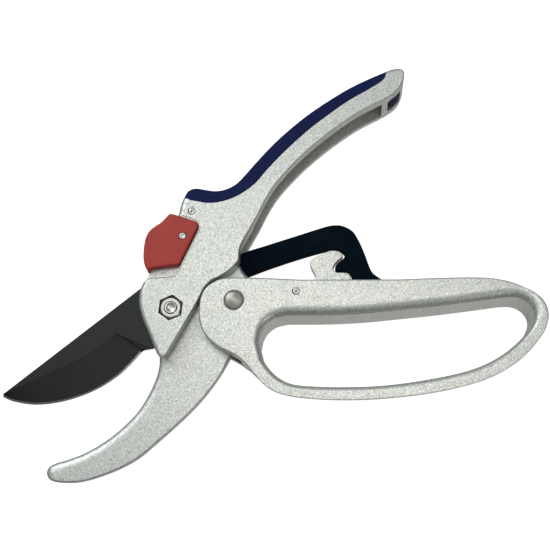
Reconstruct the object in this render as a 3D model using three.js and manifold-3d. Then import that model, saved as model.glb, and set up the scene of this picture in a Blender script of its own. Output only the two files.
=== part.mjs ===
// Ratchet bypass pruner, lying on its side and fully open.
// Millimetres. +Z is the front cheek's side, +X runs along the loop handle, and the origin is on the
// main pivot's axis, on the plane that the rear cheeks rest on.
import * as THREE from 'three';
import { mergeVertices } from 'three/addons/utils/BufferGeometryUtils.js';
import Module from 'manifold-3d';

const wasm = await Module();
wasm.setup();

// ---- driving dimensions ----
const gap = 0.3; // clearance between neighbouring pieces
const spanSteps = 2; // steps on each span of a bend
const roundSides = 24; // sides of a full circle

// heights of the layers, from the rear face to the front face
const rearCheekTop = 4.2;
const jawBack = 4.5;
const jawRearWallTop = 6.9;
const armBack = 7.2;
const armFront = 11.7;
const jawWebBack = 12.0;
const jawFront = 14.2;
const bladeBack = 14.5;
const bladeFront = 17.5;
const cheekBack = 17.8;
const front = 21.0;
const channelBack = 4.5;
const channelFront = 16.5;
const through = 5; // how far a cutter runs past a face

// axes, seen from the front
const mainPivot = [0, 0];
const handlePivot = [24.7, 2.7];
const pawlPivot = [48.8, 6.0];
const anchorPlace = [7.5, 39.2];
const catchPinPlace = [4.3, 28.6];
const catchTravel = 3.6;
const catchDirection = [-0.467, -0.884];
const jawRivetPlaces = [[6.4, 10.6], [-4.4, -13.2]];

// joint travel, in degrees
const loopTravel = 42;
const bladeTravel = 25.2;

// bolt, nut, rivets and pins
const boltRadius = 2.5;
const boltHeadRadius = 5.0;
const boltHeadHeight = 2.6;
const nutAcrossFlats = 8.0;
const nutPocketAcrossFlats = 8.7;
const nutTurn = THREE.MathUtils.degToRad(-7);
const nutTop = 21.5;
const boltTop = 21.8;
const washerRadius = 3.8;
const washerHeight = 0.8;
const hubSquare = 7.0;
const hubJournalRadius = 5.2;
const rivetShankRadius = 3.0;
const rivetHeadRadius = 3.7;
const rivetHeadTop = 21.6;
const rivetFootRadius = 4.5;
const rivetFootHeight = 1.6;
const rollPinRadius = 1.5;
const rollPinWall = 0.55;
const jawRivetRadius = 1.4;
const jawRivetHeadRadius = 2.5;
const rivetWasherRadius = 4.4;
const rivetWasherHeight = 0.6;
const spacerRadius = 3.2;

// springs
const returnSpringRadius = 6.4;
const returnSpringWire = 0.6;
const returnSpringTurns = 2.25;
const returnSpringBack = 15.4;
const returnSpringFront = 18.1;
const returnSpringReach = 9.8; // from the rivet's axis to its tip
const returnSpringFootDegrees = 200;
const returnSpringTipDegrees = returnSpringFootDegrees + 360 * returnSpringTurns;
const springPocketTop = 19.0;
const armSpringRadius = 5.2;
const armSpringWire = 0.42;
const armSpringBack = 5.2;
const armSpringFront = 6.3;
const armSpringReach = 8.2;
const armSpringFootDegrees = -144;
const pawlSpringRadius = 2.4;
const pawlSpringWire = 0.32;
const pawlSpringBack = 12.3;
const pawlSpringFront = 13.8;
const leafLength = 11;
const leafThickness = 0.5;
const leafBack = 7;
const leafFront = 14;

// grip insert, blade and catch
const gripDepth = 2.2; // thickness of its side plates and of its back
const bevelDepth = 2.0; // how much of the blade's thickness the bevel takes off
const catchRecessFront = 18.6;
const catchRecessBack = 2.4;
const catchFront = 22.4;
const catchPinTop = 22.6;
const loopChannelBack = 5.0;
const loopChannelFront = 16.0;

// ---- outlines ----
// An outline is a list of corners [x, y, radius] and of bends that run smoothly through their points.
const bend = (...points) => ({ bend: points });

function outline(...stretches) {
  const corners = [];
  for (const stretch of stretches) {
    if (Array.isArray(stretch)) {
      corners.push({ at: new THREE.Vector2(stretch[0], stretch[1]), radius: stretch[2] ?? 0 });
      continue;
    }
    const curve = new THREE.SplineCurve(stretch.bend.map(([x, y]) => new THREE.Vector2(x, y)));
    const points = curve.getPoints((stretch.bend.length - 1) * spanSteps);
    corners.push(...points.map((at) => ({ at, radius: 0 })));
  }
  return corners.flatMap((corner, i) => {
    if (corner.radius === 0) return [corner.at];
    const before = corners.at(i - 1).at;
    const after = corners[(i + 1) % corners.length].at;
    return roundedCorner(before, corner.at, after, corner.radius);
  });
}

function roundedCorner(before, at, after, radius) {
  const back = before.clone().sub(at).normalize();
  const ahead = after.clone().sub(at).normalize();
  const half = Math.acos(THREE.MathUtils.clamp(back.dot(ahead), -1, 1)) / 2;
  const reach = radius / Math.tan(half);
  const start = at.clone().addScaledVector(back, reach);
  const end = at.clone().addScaledVector(ahead, reach);
  const centre = back.clone().add(ahead).normalize().multiplyScalar(radius / Math.sin(half)).add(at);
  const from = start.clone().sub(centre).angle();
  let turn = end.clone().sub(centre).angle() - from;
  if (turn > Math.PI) turn -= 2 * Math.PI;
  if (turn < -Math.PI) turn += 2 * Math.PI;
  const steps = Math.max(2, Math.ceil((Math.abs(turn) / (2 * Math.PI)) * roundSides));
  const points = [];
  for (let i = 0; i <= steps; i++) {
    const angle = from + (turn * i) / steps;
    points.push(new THREE.Vector2(centre.x + radius * Math.cos(angle), centre.y + radius * Math.sin(angle)));
  }
  return points;
}

// a list of points moved sideways, to the right of its direction when distance is positive
function beside(points, distance) {
  return points.map((point, i) => {
    const before = points[Math.max(i - 1, 0)];
    const after = points[Math.min(i + 1, points.length - 1)];
    const along = after.clone().sub(before).normalize();
    return new THREE.Vector2(point.x + along.y * distance, point.y - along.x * distance);
  });
}

// ---- solids ----
function solid(geometry) {
  geometry.deleteAttribute('normal');
  geometry.deleteAttribute('uv');
  const merged = mergeVertices(geometry, 1e-4);
  return new wasm.Manifold(new wasm.Mesh({
    numProp: 3,
    vertProperties: new Float32Array(merged.attributes.position.array),
    triVerts: new Uint32Array(merged.index.array),
  }));
}

function slab(points, low, high) {
  const geometry = new THREE.ExtrudeGeometry(new THREE.Shape(points), {
    depth: high - low,
    bevelEnabled: false,
    curveSegments: 12,
  });
  geometry.translate(0, 0, low);
  return solid(geometry);
}

function drum([x, y], radius, low, high, sides = roundSides) {
  const geometry = new THREE.CylinderGeometry(radius, radius, high - low, sides);
  geometry.rotateX(Math.PI / 2);
  geometry.translate(x, y, (low + high) / 2);
  return solid(geometry);
}

// a slot with round ends through two or more places
function slot(places, radius, low, high) {
  return join(...places.map((place) => drum(place, radius, low, high))).hull();
}

// the place at a distance and an angle from a centre; angles in degrees
function around([x, y], distance, degrees) {
  const angle = THREE.MathUtils.degToRad(degrees);
  return [x + distance * Math.cos(angle), y + distance * Math.sin(angle)];
}

// a turned piece from a profile of [radius, height] that starts and ends on the axis
function turned([x, y], profile) {
  const points = profile.map(([radius, height]) => new THREE.Vector2(radius, height));
  const geometry = new THREE.LatheGeometry(points, roundSides);
  geometry.rotateX(Math.PI / 2);
  geometry.translate(x, y, 0);
  return solid(geometry);
}

function hexagon([x, y], acrossFlats, low, high, turn = 0) {
  const geometry = new THREE.CylinderGeometry(acrossFlats / Math.sqrt(3), acrossFlats / Math.sqrt(3),
    high - low, 6);
  geometry.rotateX(Math.PI / 2);
  geometry.rotateZ(turn);
  geometry.translate(x, y, (low + high) / 2);
  return solid(geometry);
}

function block([x, y], width, depth, low, high) {
  const geometry = new THREE.BoxGeometry(width, depth, high - low);
  geometry.translate(x, y, (low + high) / 2);
  return solid(geometry);
}

// a round wire along a path
function wire(points, radius, steps) {
  const corners = Array.from({ length: 6 }, (_, i) => (i * Math.PI) / 3);
  const section = new THREE.Shape(corners.map((angle) => new THREE.Vector2(
    radius * Math.cos(angle), radius * Math.sin(angle))));
  return solid(new THREE.ExtrudeGeometry(section, {
    steps,
    bevelEnabled: false,
    extrudePath: new THREE.CatmullRomCurve3(points.map(([x, y, z]) => new THREE.Vector3(x, y, z))),
  }));
}

const join = (first, ...others) => others.reduce((whole, piece) => whole.add(piece), first);
const cut = (first, ...others) => others.reduce((whole, piece) => whole.subtract(piece), first);

// ---- materials ----
const finish = (color, roughness, metalness) =>
  new THREE.MeshStandardMaterial({ color, roughness, metalness });
const silverPaint = finish(0xc8ccc6, 0.38, 0.6);
const navyRubber = finish(0x1e245c, 0.6, 0);
const redPlastic = finish(0xac4640, 0.45, 0);
const blackBlade = finish(0x2d3132, 0.5, 0.4);
const blackArm = finish(0x121822, 0.4, 0.3);
const bareSteel = finish(0xa5a596, 0.3, 1);
const zincPlate = finish(0xc8c8be, 0.35, 1);
const springSteel = finish(0x77756e, 0.35, 1);
const blackRubber = finish(0x15161a, 0.8, 0);
const paleNylon = finish(0xd8d6cc, 0.6, 0);

const group = new THREE.Group();

function add(name, shape, material) {
  const mesh = shape.getMesh();
  const geometry = new THREE.BufferGeometry();
  geometry.setAttribute('position', new THREE.BufferAttribute(mesh.vertProperties, 3));
  geometry.setIndex(new THREE.BufferAttribute(mesh.triVerts, 1));
  geometry.computeVertexNormals();
  const node = new THREE.Mesh(geometry, material);
  node.name = name;
  group.add(node);
}

// ---- upper handle and its grip ----
const handleBack = [
  [4.6, 44.7], [6.3, 47.6], [8.9, 48.5], [12.5, 47.9], [16.8, 47.3], [21.1, 48.0], [25.3, 50.2],
  [29.0, 54.0],
  [33.4, 59.2], [39.6, 66.1], [46.7, 72.9], [54.8, 79.6], [64.2, 86.1], [73.5, 91.6], [85.4, 97.0],
];
const handleOutline = outline(
  bend([-2.6, -19.4], [-4.7, -18.4], [-6.5, -14.8], [-9.0, -8.9], [-10.8, -4.9], [-12.1, -0.9],
    [-12.8, 3.1],
    [-12.4, 7.4], [-10.9, 11.2], [-8.5, 15.4]),
  bend([2.2, 38.4], [3.2, 41.7], ...handleBack, [89.2, 98.3], [92.1, 98.1], [93.2, 95.9], [92.0, 91.6],
    [89.3, 88.1], [84.0, 84.7], [76.4, 80.8], [70.2, 76.9], [64.0, 72.4], [57.8, 67.4], [51.6, 61.8],
    [45.5, 55.4], [40.6, 49.4], [37.0, 43.4], [33.1, 35.6], [29.4, 28.9], [27.3, 24.9], [26.7, 22.4],
    [26.6, 19.6]),
  bend([26.2, 18.2], [23.3, 15.2], [19.6, 12.6], [15.7, 10.7], [12.9, 7.6], [10.8, 3.2], [8.6, -1.1],
    [5.6, -6.4],
    [3.0, -11.0], [0.7, -15.0], [-1.0, -18.2]),
);
const gripRegion = outline(
  bend([3.2, 47.0], [5.2, 44.5], [9.5, 43.2], [15.0, 42.4], [21.2, 43.4], [27.1, 46.0], [32.7, 50.2],
    [36.9, 55.2], [41.9, 60.8], [48.0, 66.9], [55.4, 73.6], [62.9, 79.4], [70.4, 84.8], [77.8, 89.1],
    [82.8, 92.2], [85.3, 94.6], [86.0, 97.8]),
  [84.0, 103.0],
  [30.0, 75.0],
  [2.0, 56.0],
);

const backLine = new THREE.SplineCurve(handleBack.map(([x, y]) => new THREE.Vector2(x, y)))
  .getPoints((handleBack.length - 1) * spanSteps);
// the strip of the handle's back that lies less than depth below its surface
const backStrip = (depth) => [...beside(backLine, -4), ...beside(backLine, depth).reverse()];

const wallLeft = 1.2; // thin wall under the catch
const cavityOutline = outline(
  [-14.0, -40.0],
  [-14.0, 8.2],
  [-8.6, 11.2],
  [-7.4 + wallLeft, 15.2],
  [2.6 + wallLeft, 37.0, 2],
  [8.2, 36.2, 2],
  [12.0, 43.4],
  [60.0, 43.4],
  [60.0, -40.0],
);
const channelOutline = outline(
  [9.4, 36.0],
  bend(...beside(backLine, 4.7).slice(6, -7).map(({ x, y }) => [x, y])),
  [83.6, 90.4, 1.5],
  [84.6, 80.0],
  [60.0, 30.0],
);
const endPocketOutline = outline(
  bend([85.2, 88.6], [85.0, 90.6], [86.6, 92.6], [89.0, 92.8], [91.0, 91.4]),
  [97.0, 87.0],
  [89.0, 81.0],
);

const catchOutline = outline(
  bend([-1.6, 37.4], [-0.6, 37.9], [2.3, 37.1], [5.7, 36.0], [8.6, 34.9]),
  bend([9.9, 34.0], [10.3, 33.0], [10.0, 31.7]),
  [3.2, 17.0, 1.2],
  bend([-7.3, 15.7], [-8.4, 15.2], [-9.3, 14.5]),
  bend([-9.8, 15.4], [-10.7, 17.7], [-11.1, 21.1], [-10.9, 25.1], [-10.3, 28.3], [-9.1, 30.7], [-7.1, 32.6],
    [-4.5, 34.3], [-2.6, 36.3]),
);
const catchRecessOutline = outline(
  [-16.0, 10.7],
  [-10.4, 10.8],
  [-8.8, 12.1],
  [-0.1, 12.7, 1],
  [1.9, 13.3, 2],
  [10.5, 31.4],
  [10.9, 34.2, 2.4],
  [-0.8, 38.6],
  [-16.0, 40.0],
);
const catchSideOutline = outline([-16.0, 10.7], [-10.7, 10.7], [2.2, 38.4], [-16.0, 40.0]);

// the slot that a round piece sweeps as it slides with the catch
function slideSlot([x, y], radius, low, high) {
  const end = [x + catchDirection[0] * catchTravel, y + catchDirection[1] * catchTravel];
  return slot([[x, y], end], radius, low, high);
}

function upperHandle() {
  const body = slab(handleOutline, 0, front);
  const core = cut(slab(gripRegion, gripDepth + gap, front - gripDepth - gap),
    slab(backStrip(gripDepth + gap), -through, front + through));
  return cut(body,
    slab(gripRegion, -through, front + through).subtract(core),
    slab(cavityOutline, rearCheekTop, bladeBack),
    slab(channelOutline, channelBack, channelFront),
    slab(endPocketOutline, channelBack, channelFront),
    bladePocket(),
    slab(catchRecessOutline, catchRecessFront, front + through),
    slab(catchRecessOutline, -through, catchRecessBack),
    slab(catchSideOutline, -through, front + through),
    slideSlot(catchPinPlace, rollPinRadius + gap, -through, front + through),
    drum(anchorPlace, rollPinRadius + gap, -through, front + through),
    drum(mainPivot, boltHeadRadius + gap, -through, boltHeadHeight + gap),
    drum(mainPivot, boltRadius + gap, -through, front + through),
    hexagon(mainPivot, nutPocketAcrossFlats, bladeFront, front + through, nutTurn),
    ...jawRivetPlaces.map((place) => jawRivet(place, gap)));
}

// the space in the front cheek that the blade's eye and heel sweep
function bladePocket() {
  const sweep = outline([-20.0, 10.2], [-13.0, 10.8], [-7.0, 11.5], [0.0, 11.2], [6.0, -9.0], [6.0, -22.0],
    [-20.0, -22.0]);
  return join(drum(mainPivot, 11.0, jawFront, cheekBack), slab(sweep, jawFront, cheekBack));
}

function gripInsert() {
  const inside = slab(handleOutline, 0, front).intersect(slab(gripRegion, 0, front));
  const core = cut(slab(gripRegion, gripDepth, front - gripDepth),
    slab(backStrip(gripDepth), -through, front + through));
  const shift = gap * Math.SQRT1_2; // up and to the left, away from the casting
  return cut(inside, core).intersect(slab(gripRegion, 0, front).translate([-shift, shift, 0]));
}

// ---- hook jaw ----
const jawOutline = outline(
  bend([-5.0, -18.4], [-5.2, -22.2], [-6.4, -26.9], [-9.4, -33.7], [-13.4, -39.9], [-19.4, -46.1],
    [-26.0, -51.2],
    [-33.2, -55.3], [-39.8, -57.8], [-44.5, -59.2], [-47.0, -60.8], [-47.6, -62.9], [-46.4, -64.8],
    [-43.4, -65.7], [-38.3, -66.0], [-33.2, -65.5], [-27.0, -63.8], [-19.3, -60.8], [-12.2, -56.7],
    [-5.6, -51.1], [1.0, -45.3], [7.2, -39.4], [12.8, -33.2], [18.3, -25.7], [22.4, -18.4], [27.4, -8.8],
    [31.7, -3.2], [33.2, 2.7], [32.8, 7.0], [31.2, 12.0], [29.0, 14.6], [27.4, 16.6], [26.4, 18.5],
    [24.4, 20.0]),
  bend([20.0, 20.2], [12.0, 19.2], [4.0, 18.0], [-3.4, 16.4], [-7.2, 12.2], [-9.6, 6.6], [-10.4, 0.0],
    [-9.6, -7.0], [-7.0, -13.6]),
);
const armSlotOutline = outline(
  bend([-8.2, 0.0], [-7.1, -4.1], [-4.1, -7.1], [0.0, -8.2], [4.6, -6.8]),
  [20.0, 6.6, 3],
  [29.2, 13.4],
  [40.0, 20.0],
  [40.0, 30.0],
  [-12.0, 30.0],
  [-6.6, 10.0, 3],
);

function hookJaw() {
  return cut(slab(jawOutline, jawBack, jawFront),
    slab(armSlotOutline, jawRearWallTop, jawWebBack),
    drum(mainPivot, hubJournalRadius + gap, jawRearWallTop, jawFront + through),
    drum(mainPivot, armSpringRadius + 1.2, -through, armBack),
    armSpringSlot(),
    drum(handlePivot, rivetShankRadius + gap, -through, front),
    springFootSlot(),
    ...jawRivetPlaces.map((place) => jawRivet(place, gap)));
}

// ---- blade, arm and the hub that ties them ----
const bladeOutline = outline(
  bend([-65.9, -33.5], [-64.2, -34.4], [-60.7, -35.6], [-53.4, -36.7], [-45.0, -36.1], [-36.5, -34.0],
    [-28.2, -30.5], [-20.8, -25.7], [-15.9, -21.1], [-11.9, -16.5]),
  bend([-11.2, -15.9], [-10.2, -15.6], [-7.5, -15.2]),
  bend([-3.4, -13.8], [1.0, -11.2], [4.4, -6.8], [6.9, -2.6], [8.3, 1.0], [8.3, 4.4], [6.8, 7.4], [4.0, 9.2],
    [0.0, 10.2], [-5.0, 10.6], [-9.6, 10.2], [-12.9, 8.4]),
);

function cuttingBlade() {
  const body = slab(bladeOutline, bladeBack, bladeFront);
  return cut(body, squareHole(), edgeBevel(bevelDepth));
}

// the wedge that the long bevel takes off the front face, down to a thin edge
function edgeBevel(depth) {
  const plungeTop = [-7.4, -14.4];
  const edge = [[-7.0, -16.4], [-12.6, -17.3], [-16.4, -21.6], [-21.4, -26.4], [-28.7, -31.3],
    [-36.9, -34.9],
    [-45.2, -37.0], [-53.4, -37.6], [-61.0, -36.5], [-66.5, -34.4]];
  const grind = [plungeTop, [-12.4, -13.2], [-18.0, -14.6], [-24.6, -19.2], [-31.4, -23.6], [-38.2, -27.0],
    [-45.6, -29.8], [-52.6, -31.6], [-59.4, -32.8], [-64.8, -33.2]];
  const rows = edge.map(([x, y], i) => [
    [x, y, bladeFront - depth],
    [grind[i][0], grind[i][1], bladeFront + 0.02],
    [x, y, bladeFront + 1],
  ]);
  return loft(rows);
}

// a closed body through triangular rows of points
function loft(rows) {
  const positions = rows.flat(2);
  const count = rows[0].length;
  const last = (rows.length - 1) * count;
  const faces = [];
  for (let row = 0; row < rows.length - 1; row++) {
    for (let i = 0; i < count; i++) {
      const a = row * count + i;
      const b = row * count + ((i + 1) % count);
      faces.push(a, a + count, b, b, a + count, b + count);
    }
  }
  faces.push(0, 1, 2, last, last + 2, last + 1);
  const geometry = new THREE.BufferGeometry();
  geometry.setAttribute('position', new THREE.Float32BufferAttribute(positions, 3));
  geometry.setIndex(faces);
  return solid(geometry);
}

function squareHole() {
  const width = hubSquare + 2 * gap;
  return block(mainPivot, width, width, -through, front + through);
}

const lockLug = [[5.5, 10.9], [9.7, 23.8], [11.4, 23.1], [10.3, 14.5]];
const armOutline = outline(
  bend([-4.3, 5.9], [-6.9, 2.4], [-7.3, 0.0], [-6.9, -2.4], [-5.2, -5.2], [-2.4, -6.9], [0.4, -7.3],
    [3.8, -6.3]),
  [20.5, 8.2, 6],
  bend([29.2, 14.9], [36.2, 17.6], [48.1, 21.6], [58.9, 24.7], [63.0, 25.3], [65.4, 25.1], [67.3, 24.2],
    [68.1, 22.7],
    [67.5, 21.4], [65.7, 19.9], [64.5, 18.6], [64.1, 17.4], [64.7, 16.4], [68.8, 16.1], [70.1, 15.2],
    [70.8, 13.5], [71.2, 11.2]),
  [72.0, 8.6, 1],
  [84.6, 10.0, 1],
  bend([83.6, 11.9], [81.5, 13.3], [79.9, 14.5], [78.8, 15.6], [78.0, 17.2], [77.2, 19.5], [76.1, 22.8],
    [74.6, 26.8], [72.3, 31.4], [70.3, 33.5], [67.5, 34.9], [65.0, 35.3], [62.3, 35.1], [58.2, 34.0],
    [48.1, 30.8], [36.0, 27.0], [28.4, 24.6], [22.0, 21.6]),
  [lockLug[3][0], lockLug[3][1]],
  [lockLug[2][0], lockLug[2][1], 0.4],
  [lockLug[1][0], lockLug[1][1], 0.4],
  [lockLug[0][0], lockLug[0][1]],
);

function ratchetArm() {
  return cut(slab(armOutline, armBack, armFront),
    squareHole(),
    drum([armSpringRadius + 0.3, 0], armSpringWire * 2, 0, 10, 10));
}

function driveHub() {
  const halfGap = gap / 2;
  const lower = block(mainPivot, hubSquare, hubSquare, armBack, jawWebBack);
  const journal = drum(mainPivot, hubJournalRadius, jawWebBack - halfGap, jawFront + halfGap);
  const upper = block(mainPivot, hubSquare, hubSquare, jawFront, bladeFront);
  return cut(join(lower, journal, upper), drum(mainPivot, boltRadius + gap, -through, front + through));
}

// ---- main pivot's bolt, nut and washer, and the jaw's rivets ----
function pivotBolt() {
  return turned(mainPivot, [
    [0, 0], [boltHeadRadius - 0.4, 0], [boltHeadRadius, 0.5], [boltHeadRadius, boltHeadHeight],
    [boltRadius, boltHeadHeight], [boltRadius, boltTop - 0.4], [boltRadius - 0.4, boltTop],
    [1.6, boltTop], [1.1, boltTop - 0.7], [0, boltTop - 0.7],
  ]);
}

const washerBack = cheekBack;
const nutBack = washerBack + washerHeight + gap;
const pivotNut = () => cut(hexagon(mainPivot, nutAcrossFlats, nutBack, nutTop, nutTurn),
  drum(mainPivot, boltRadius + gap, -through, front + through));
const bladeWasher = () => cut(drum(mainPivot, washerRadius, washerBack, washerBack + washerHeight),
  drum(mainPivot, boltRadius + gap, -through, front + through));

// a countersunk rivet from the rear cheek into the jaw; room widens it into its own hole
function jawRivet(place, room = 0) {
  const tip = jawRearWallTop - gap + room;
  return turned(place, [
    [0, -room], [jawRivetHeadRadius + room, -room], [jawRivetHeadRadius + room, 0.8],
    [jawRivetRadius + room, 1.9 + room], [jawRivetRadius + room, tip], [0, tip],
  ]);
}

// a spring pin rolled from strip, with its slit
function rollPin(place, low, high) {
  const ring = cut(drum(place, rollPinRadius, low, high, 20),
    drum(place, rollPinRadius - rollPinWall, low - 1, high + 1, 16));
  return cut(ring, block([place[0] + rollPinRadius, place[1]], 2, 0.35, low - 1, high + 1));
}

// ---- loop handle ----
const loopOutline = outline(
  bend([15.0, 9.4], [13.2, 7.6], [11.5, 4.0], [11.0, -1.0], [11.3, -5.2], [12.8, -9.4], [15.6, -13.0],
    [19.3, -15.8], [23.4, -17.9], [26.8, -20.0], [29.6, -22.6], [33.1, -27.0], [36.8, -31.0], [40.8, -33.5],
    [46.5, -35.2], [54.1, -36.2], [64.0, -36.8], [74.0, -36.8], [84.4, -36.2], [95.7, -35.0],
    [107.0, -33.1], [118.4, -30.1], [126.1, -26.9], [132.0, -23.3], [137.0, -19.2], [141.1, -14.5],
    [143.6, -11.2], [145.0, -8.0], [145.7, -4.4], [145.2, -1.0], [143.6, 2.0], [140.4, 4.9], [136.4, 7.0],
    [130.8, 9.2], [124.0, 10.5], [116.0, 10.9], [104.6, 10.8], [89.2, 10.4]),
  bend([50.4, 10.8], [36.7, 11.6], [27.0, 11.9], [21.0, 11.8], [17.8, 11.0]),
);
const fingerHoleOutline = outline(
  bend([34.4, -14.0], [35.3, -9.8], [37.3, -6.6], [40.5, -4.3], [45.0, -3.2]),
  bend([56.0, -3.3], [66.0, -3.2], [76.0, -2.7], [88.4, -1.6], [102.0, -0.3], [115.0, 1.2],
    [123.7, 2.3], [129.4, 3.0], [134.0, 2.9], [137.6, 1.2], [139.6, -1.4], [140.2, -4.4], [139.1, -7.8],
    [136.6, -11.4], [132.4, -15.6], [126.8, -19.8], [120.6, -23.1], [113.6, -25.6], [103.4, -27.9],
    [90.0, -30.0], [78.0, -31.1],
    [66.0, -31.3], [56.0, -31.0], [48.0, -30.2], [43.0, -28.2], [39.0, -24.8], [36.0, -20.6]),
);
const jawSlotOutline = outline(
  [0.0, -30.0],
  [27.2, -23.0],
  [27.2, -18.0],
  bend([28.6, -8.0], [32.5, -5.1], [35.2, -1.2], [36.4, 3.0], [36.6, 8.0]),
  [36.6, 20.0],
  [0.0, 20.0],
);
const pawlChannelOutline = outline(
  [30.0, 20.0],
  [30.0, 6.6, 2],
  [38.4, 0.8, 3],
  [74.0, 0.2, 8],
  [100.0, 1.8, 3],
  [100.0, 20.0],
);
function loopHandle() {
  const springPocket = drum(handlePivot, returnSpringRadius + 1.3, 13, springPocketTop)
    .subtract(drum(handlePivot, returnSpringRadius - 1.4, 12, front));
  const springTipPocket = drum(around(handlePivot, returnSpringReach - 1.2, returnSpringTipDegrees), 2.4,
    channelFront, springPocketTop);
  return cut(slab(loopOutline, 0, front),
    slab(fingerHoleOutline, -through, front + through),
    slab(jawSlotOutline, rearCheekTop, bladeBack),
    slab(pawlChannelOutline, loopChannelBack, loopChannelFront),
    springPocket,
    springTipPocket,
    drum(handlePivot, rivetWasherRadius + gap, 13, bladeBack + rivetWasherHeight + 2 * gap),
    drum(handlePivot, rivetShankRadius + gap, -through, front + through),
    drum(handlePivot, rivetHeadRadius + 0.6, front - 1.6, front + through),
    drum(handlePivot, rivetFootRadius + gap, -through, rivetFootHeight + gap),
    drum(pawlPivot, rollPinRadius + gap, -through, front + through));
}

function handleRivet() {
  const seat = front - 1.3;
  return turned(handlePivot, [
    [0, 0.1], [rivetFootRadius - 0.4, 0.1], [rivetFootRadius, 0.5], [rivetFootRadius, rivetFootHeight],
    [rivetShankRadius, rivetFootHeight], [rivetShankRadius, seat], [rivetHeadRadius, seat],
    [rivetHeadRadius, rivetHeadTop - 0.8], [rivetHeadRadius - 0.7, rivetHeadTop - 0.3],
    [rivetHeadRadius - 2, rivetHeadTop - 0.05], [0, rivetHeadTop],
  ]);
}

const rivetWasher = () => cut(drum(handlePivot, rivetWasherRadius, bladeBack, bladeBack + rivetWasherHeight),
  drum(handlePivot, rivetShankRadius + gap, 0, front));

const bumperOutline = outline([23.6, -17.2], [26.9, -16.6], [26.9, -19.6, 0.4], [25.0, -18.5, 0.5]);
const handleBumper = () => slab(bumperOutline, jawBack + gap, jawFront - gap);

// ---- springs ----
// points of a coil about a vertical axis
function coil(centre, radius, fromDegrees, turns, low, high, perTurn = 12) {
  const steps = Math.round(turns * perTurn);
  const points = [];
  for (let i = 0; i <= steps; i++) {
    const place = around(centre, radius, fromDegrees + (360 * turns * i) / steps);
    points.push([...place, low + ((high - low) * i) / steps]);
  }
  return points;
}

// opens the levers: its foot reaches back into the jaw, its tip bears on the loop handle
function returnSpring() {
  const turns = coil(handlePivot, returnSpringRadius, returnSpringFootDegrees, returnSpringTurns,
    returnSpringBack, returnSpringFront);
  const foot = around(handlePivot, returnSpringRadius, returnSpringFootDegrees);
  const tip = around(handlePivot, returnSpringReach, returnSpringTipDegrees);
  return wire([[...foot, jawFront - 2], ...turns, [...tip, returnSpringFront]], returnSpringWire, 56);
}

// the slot in the jaw that the return spring's foot sweeps
function springFootSlot() {
  const places = [0, 0.5, 1].map((share) => around(handlePivot, returnSpringRadius,
    returnSpringFootDegrees + share * loopTravel));
  return slot(places, returnSpringWire + gap, jawFront - 3, jawFront + through);
}

// lifts the blade: its foot reaches into the jaw's rear wall, its tip into the arm
function armSpring() {
  const turns = coil(mainPivot, armSpringRadius, armSpringFootDegrees, 1.4, armSpringBack, armSpringFront);
  const foot = around(mainPivot, armSpringReach, armSpringFootDegrees);
  return wire([[...foot, armSpringBack], ...turns, [armSpringRadius + 0.3, 0, 9.4]], armSpringWire, 40);
}

// the slot in the jaw's rear wall that the arm spring's foot sweeps
function armSpringSlot() {
  const places = [-0.3, 0.5, 1.3].map((share) => around(mainPivot, armSpringReach - 0.8,
    armSpringFootDegrees + share * bladeTravel));
  return slot(places, 1.9, 0, armBack);
}

// ---- pawl, its pin, spring and spacers ----
const pawlOutline = outline(
  bend([55.8, 12.6], [56.3, 13.8], [55.8, 15.4], [54.7, 17.6], [54.2, 19.3], [54.5, 20.6], [55.9, 21.8],
    [58.1, 22.9], [60.2, 23.9], [62.4, 24.7], [65.0, 24.6], [66.5, 23.9], [67.3, 22.9], [66.9, 21.8],
    [65.5, 20.6], [64.1, 19.2], [63.5, 17.9], [63.4, 16.6], [64.6, 15.8], [68.6, 15.5], [69.8, 14.8],
    [70.3, 13.2]),
  [70.2, 11.0, 1.5],
  [60.0, 8.4, 6],
  bend([53.2, 4.6], [51.6, 2.8], [49.4, 1.9], [47.0, 2.2], [45.2, 3.8], [44.7, 6.0], [45.2, 8.2],
    [47.0, 9.9],
    [50.0, 10.9]),
);
const ratchetPawl = () => cut(slab(pawlOutline, armBack, armFront),
  drum(pawlPivot, rollPinRadius + gap, 0, front));
const spacer = (low, high) => cut(drum(pawlPivot, spacerRadius, low, high),
  drum(pawlPivot, rollPinRadius + gap, 0, front));

// keeps the pawl's teeth against the arm: one end bears on the loop handle, the other on the pawl
function pawlSpring() {
  const [x, y] = pawlPivot;
  const far = pawlSpringFront - 0.2;
  const turns = coil(pawlPivot, pawlSpringRadius, 0, 1.75, pawlSpringBack, far, 10);
  const foot = [x + 2.4, y - pawlSpringRadius - 1.2, pawlSpringBack];
  const tip = [x + 4.6, y - pawlSpringRadius, far];
  return wire([foot, ...turns, tip], pawlSpringWire, 36);
}

// ---- catch ----
// the casting's left side, which the catch's bridge slides along
const guideOffset = gap + 0.05;
const bridgeCut = outline([-8.5 - guideOffset, 15.4], [2.2 - guideOffset, 38.4], [8.0, 50.0], [40.0, 50.0],
  [40.0, 0.0], [-16.9, -3.0]);
const leafMiddle = [-5.0, 26.4];

function safetyCatch() {
  const plates = join(
    slab(catchOutline, catchRecessFront + gap, catchFront),
    slab(catchOutline, 0, catchRecessBack - gap),
  );
  const bridge = cut(slab(catchOutline, 0, catchFront), slab(bridgeCut, -through, front + through));
  return cut(join(plates, bridge),
    drum(catchPinPlace, rollPinRadius + gap, -through, front + through),
    leafPocket());
}

// turns a piece drawn along +X so that it lies along the slide at the leaf's place
function alongSlide(shape) {
  const degrees = THREE.MathUtils.radToDeg(Math.atan2(-catchDirection[1], -catchDirection[0]));
  return shape.rotate([0, 0, degrees]).translate([leafMiddle[0], leafMiddle[1], 0]);
}

function leafPocket() {
  return alongSlide(block([0, -0.2], leafLength + 2 * gap, 4.8, leafBack, leafFront));
}

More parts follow.
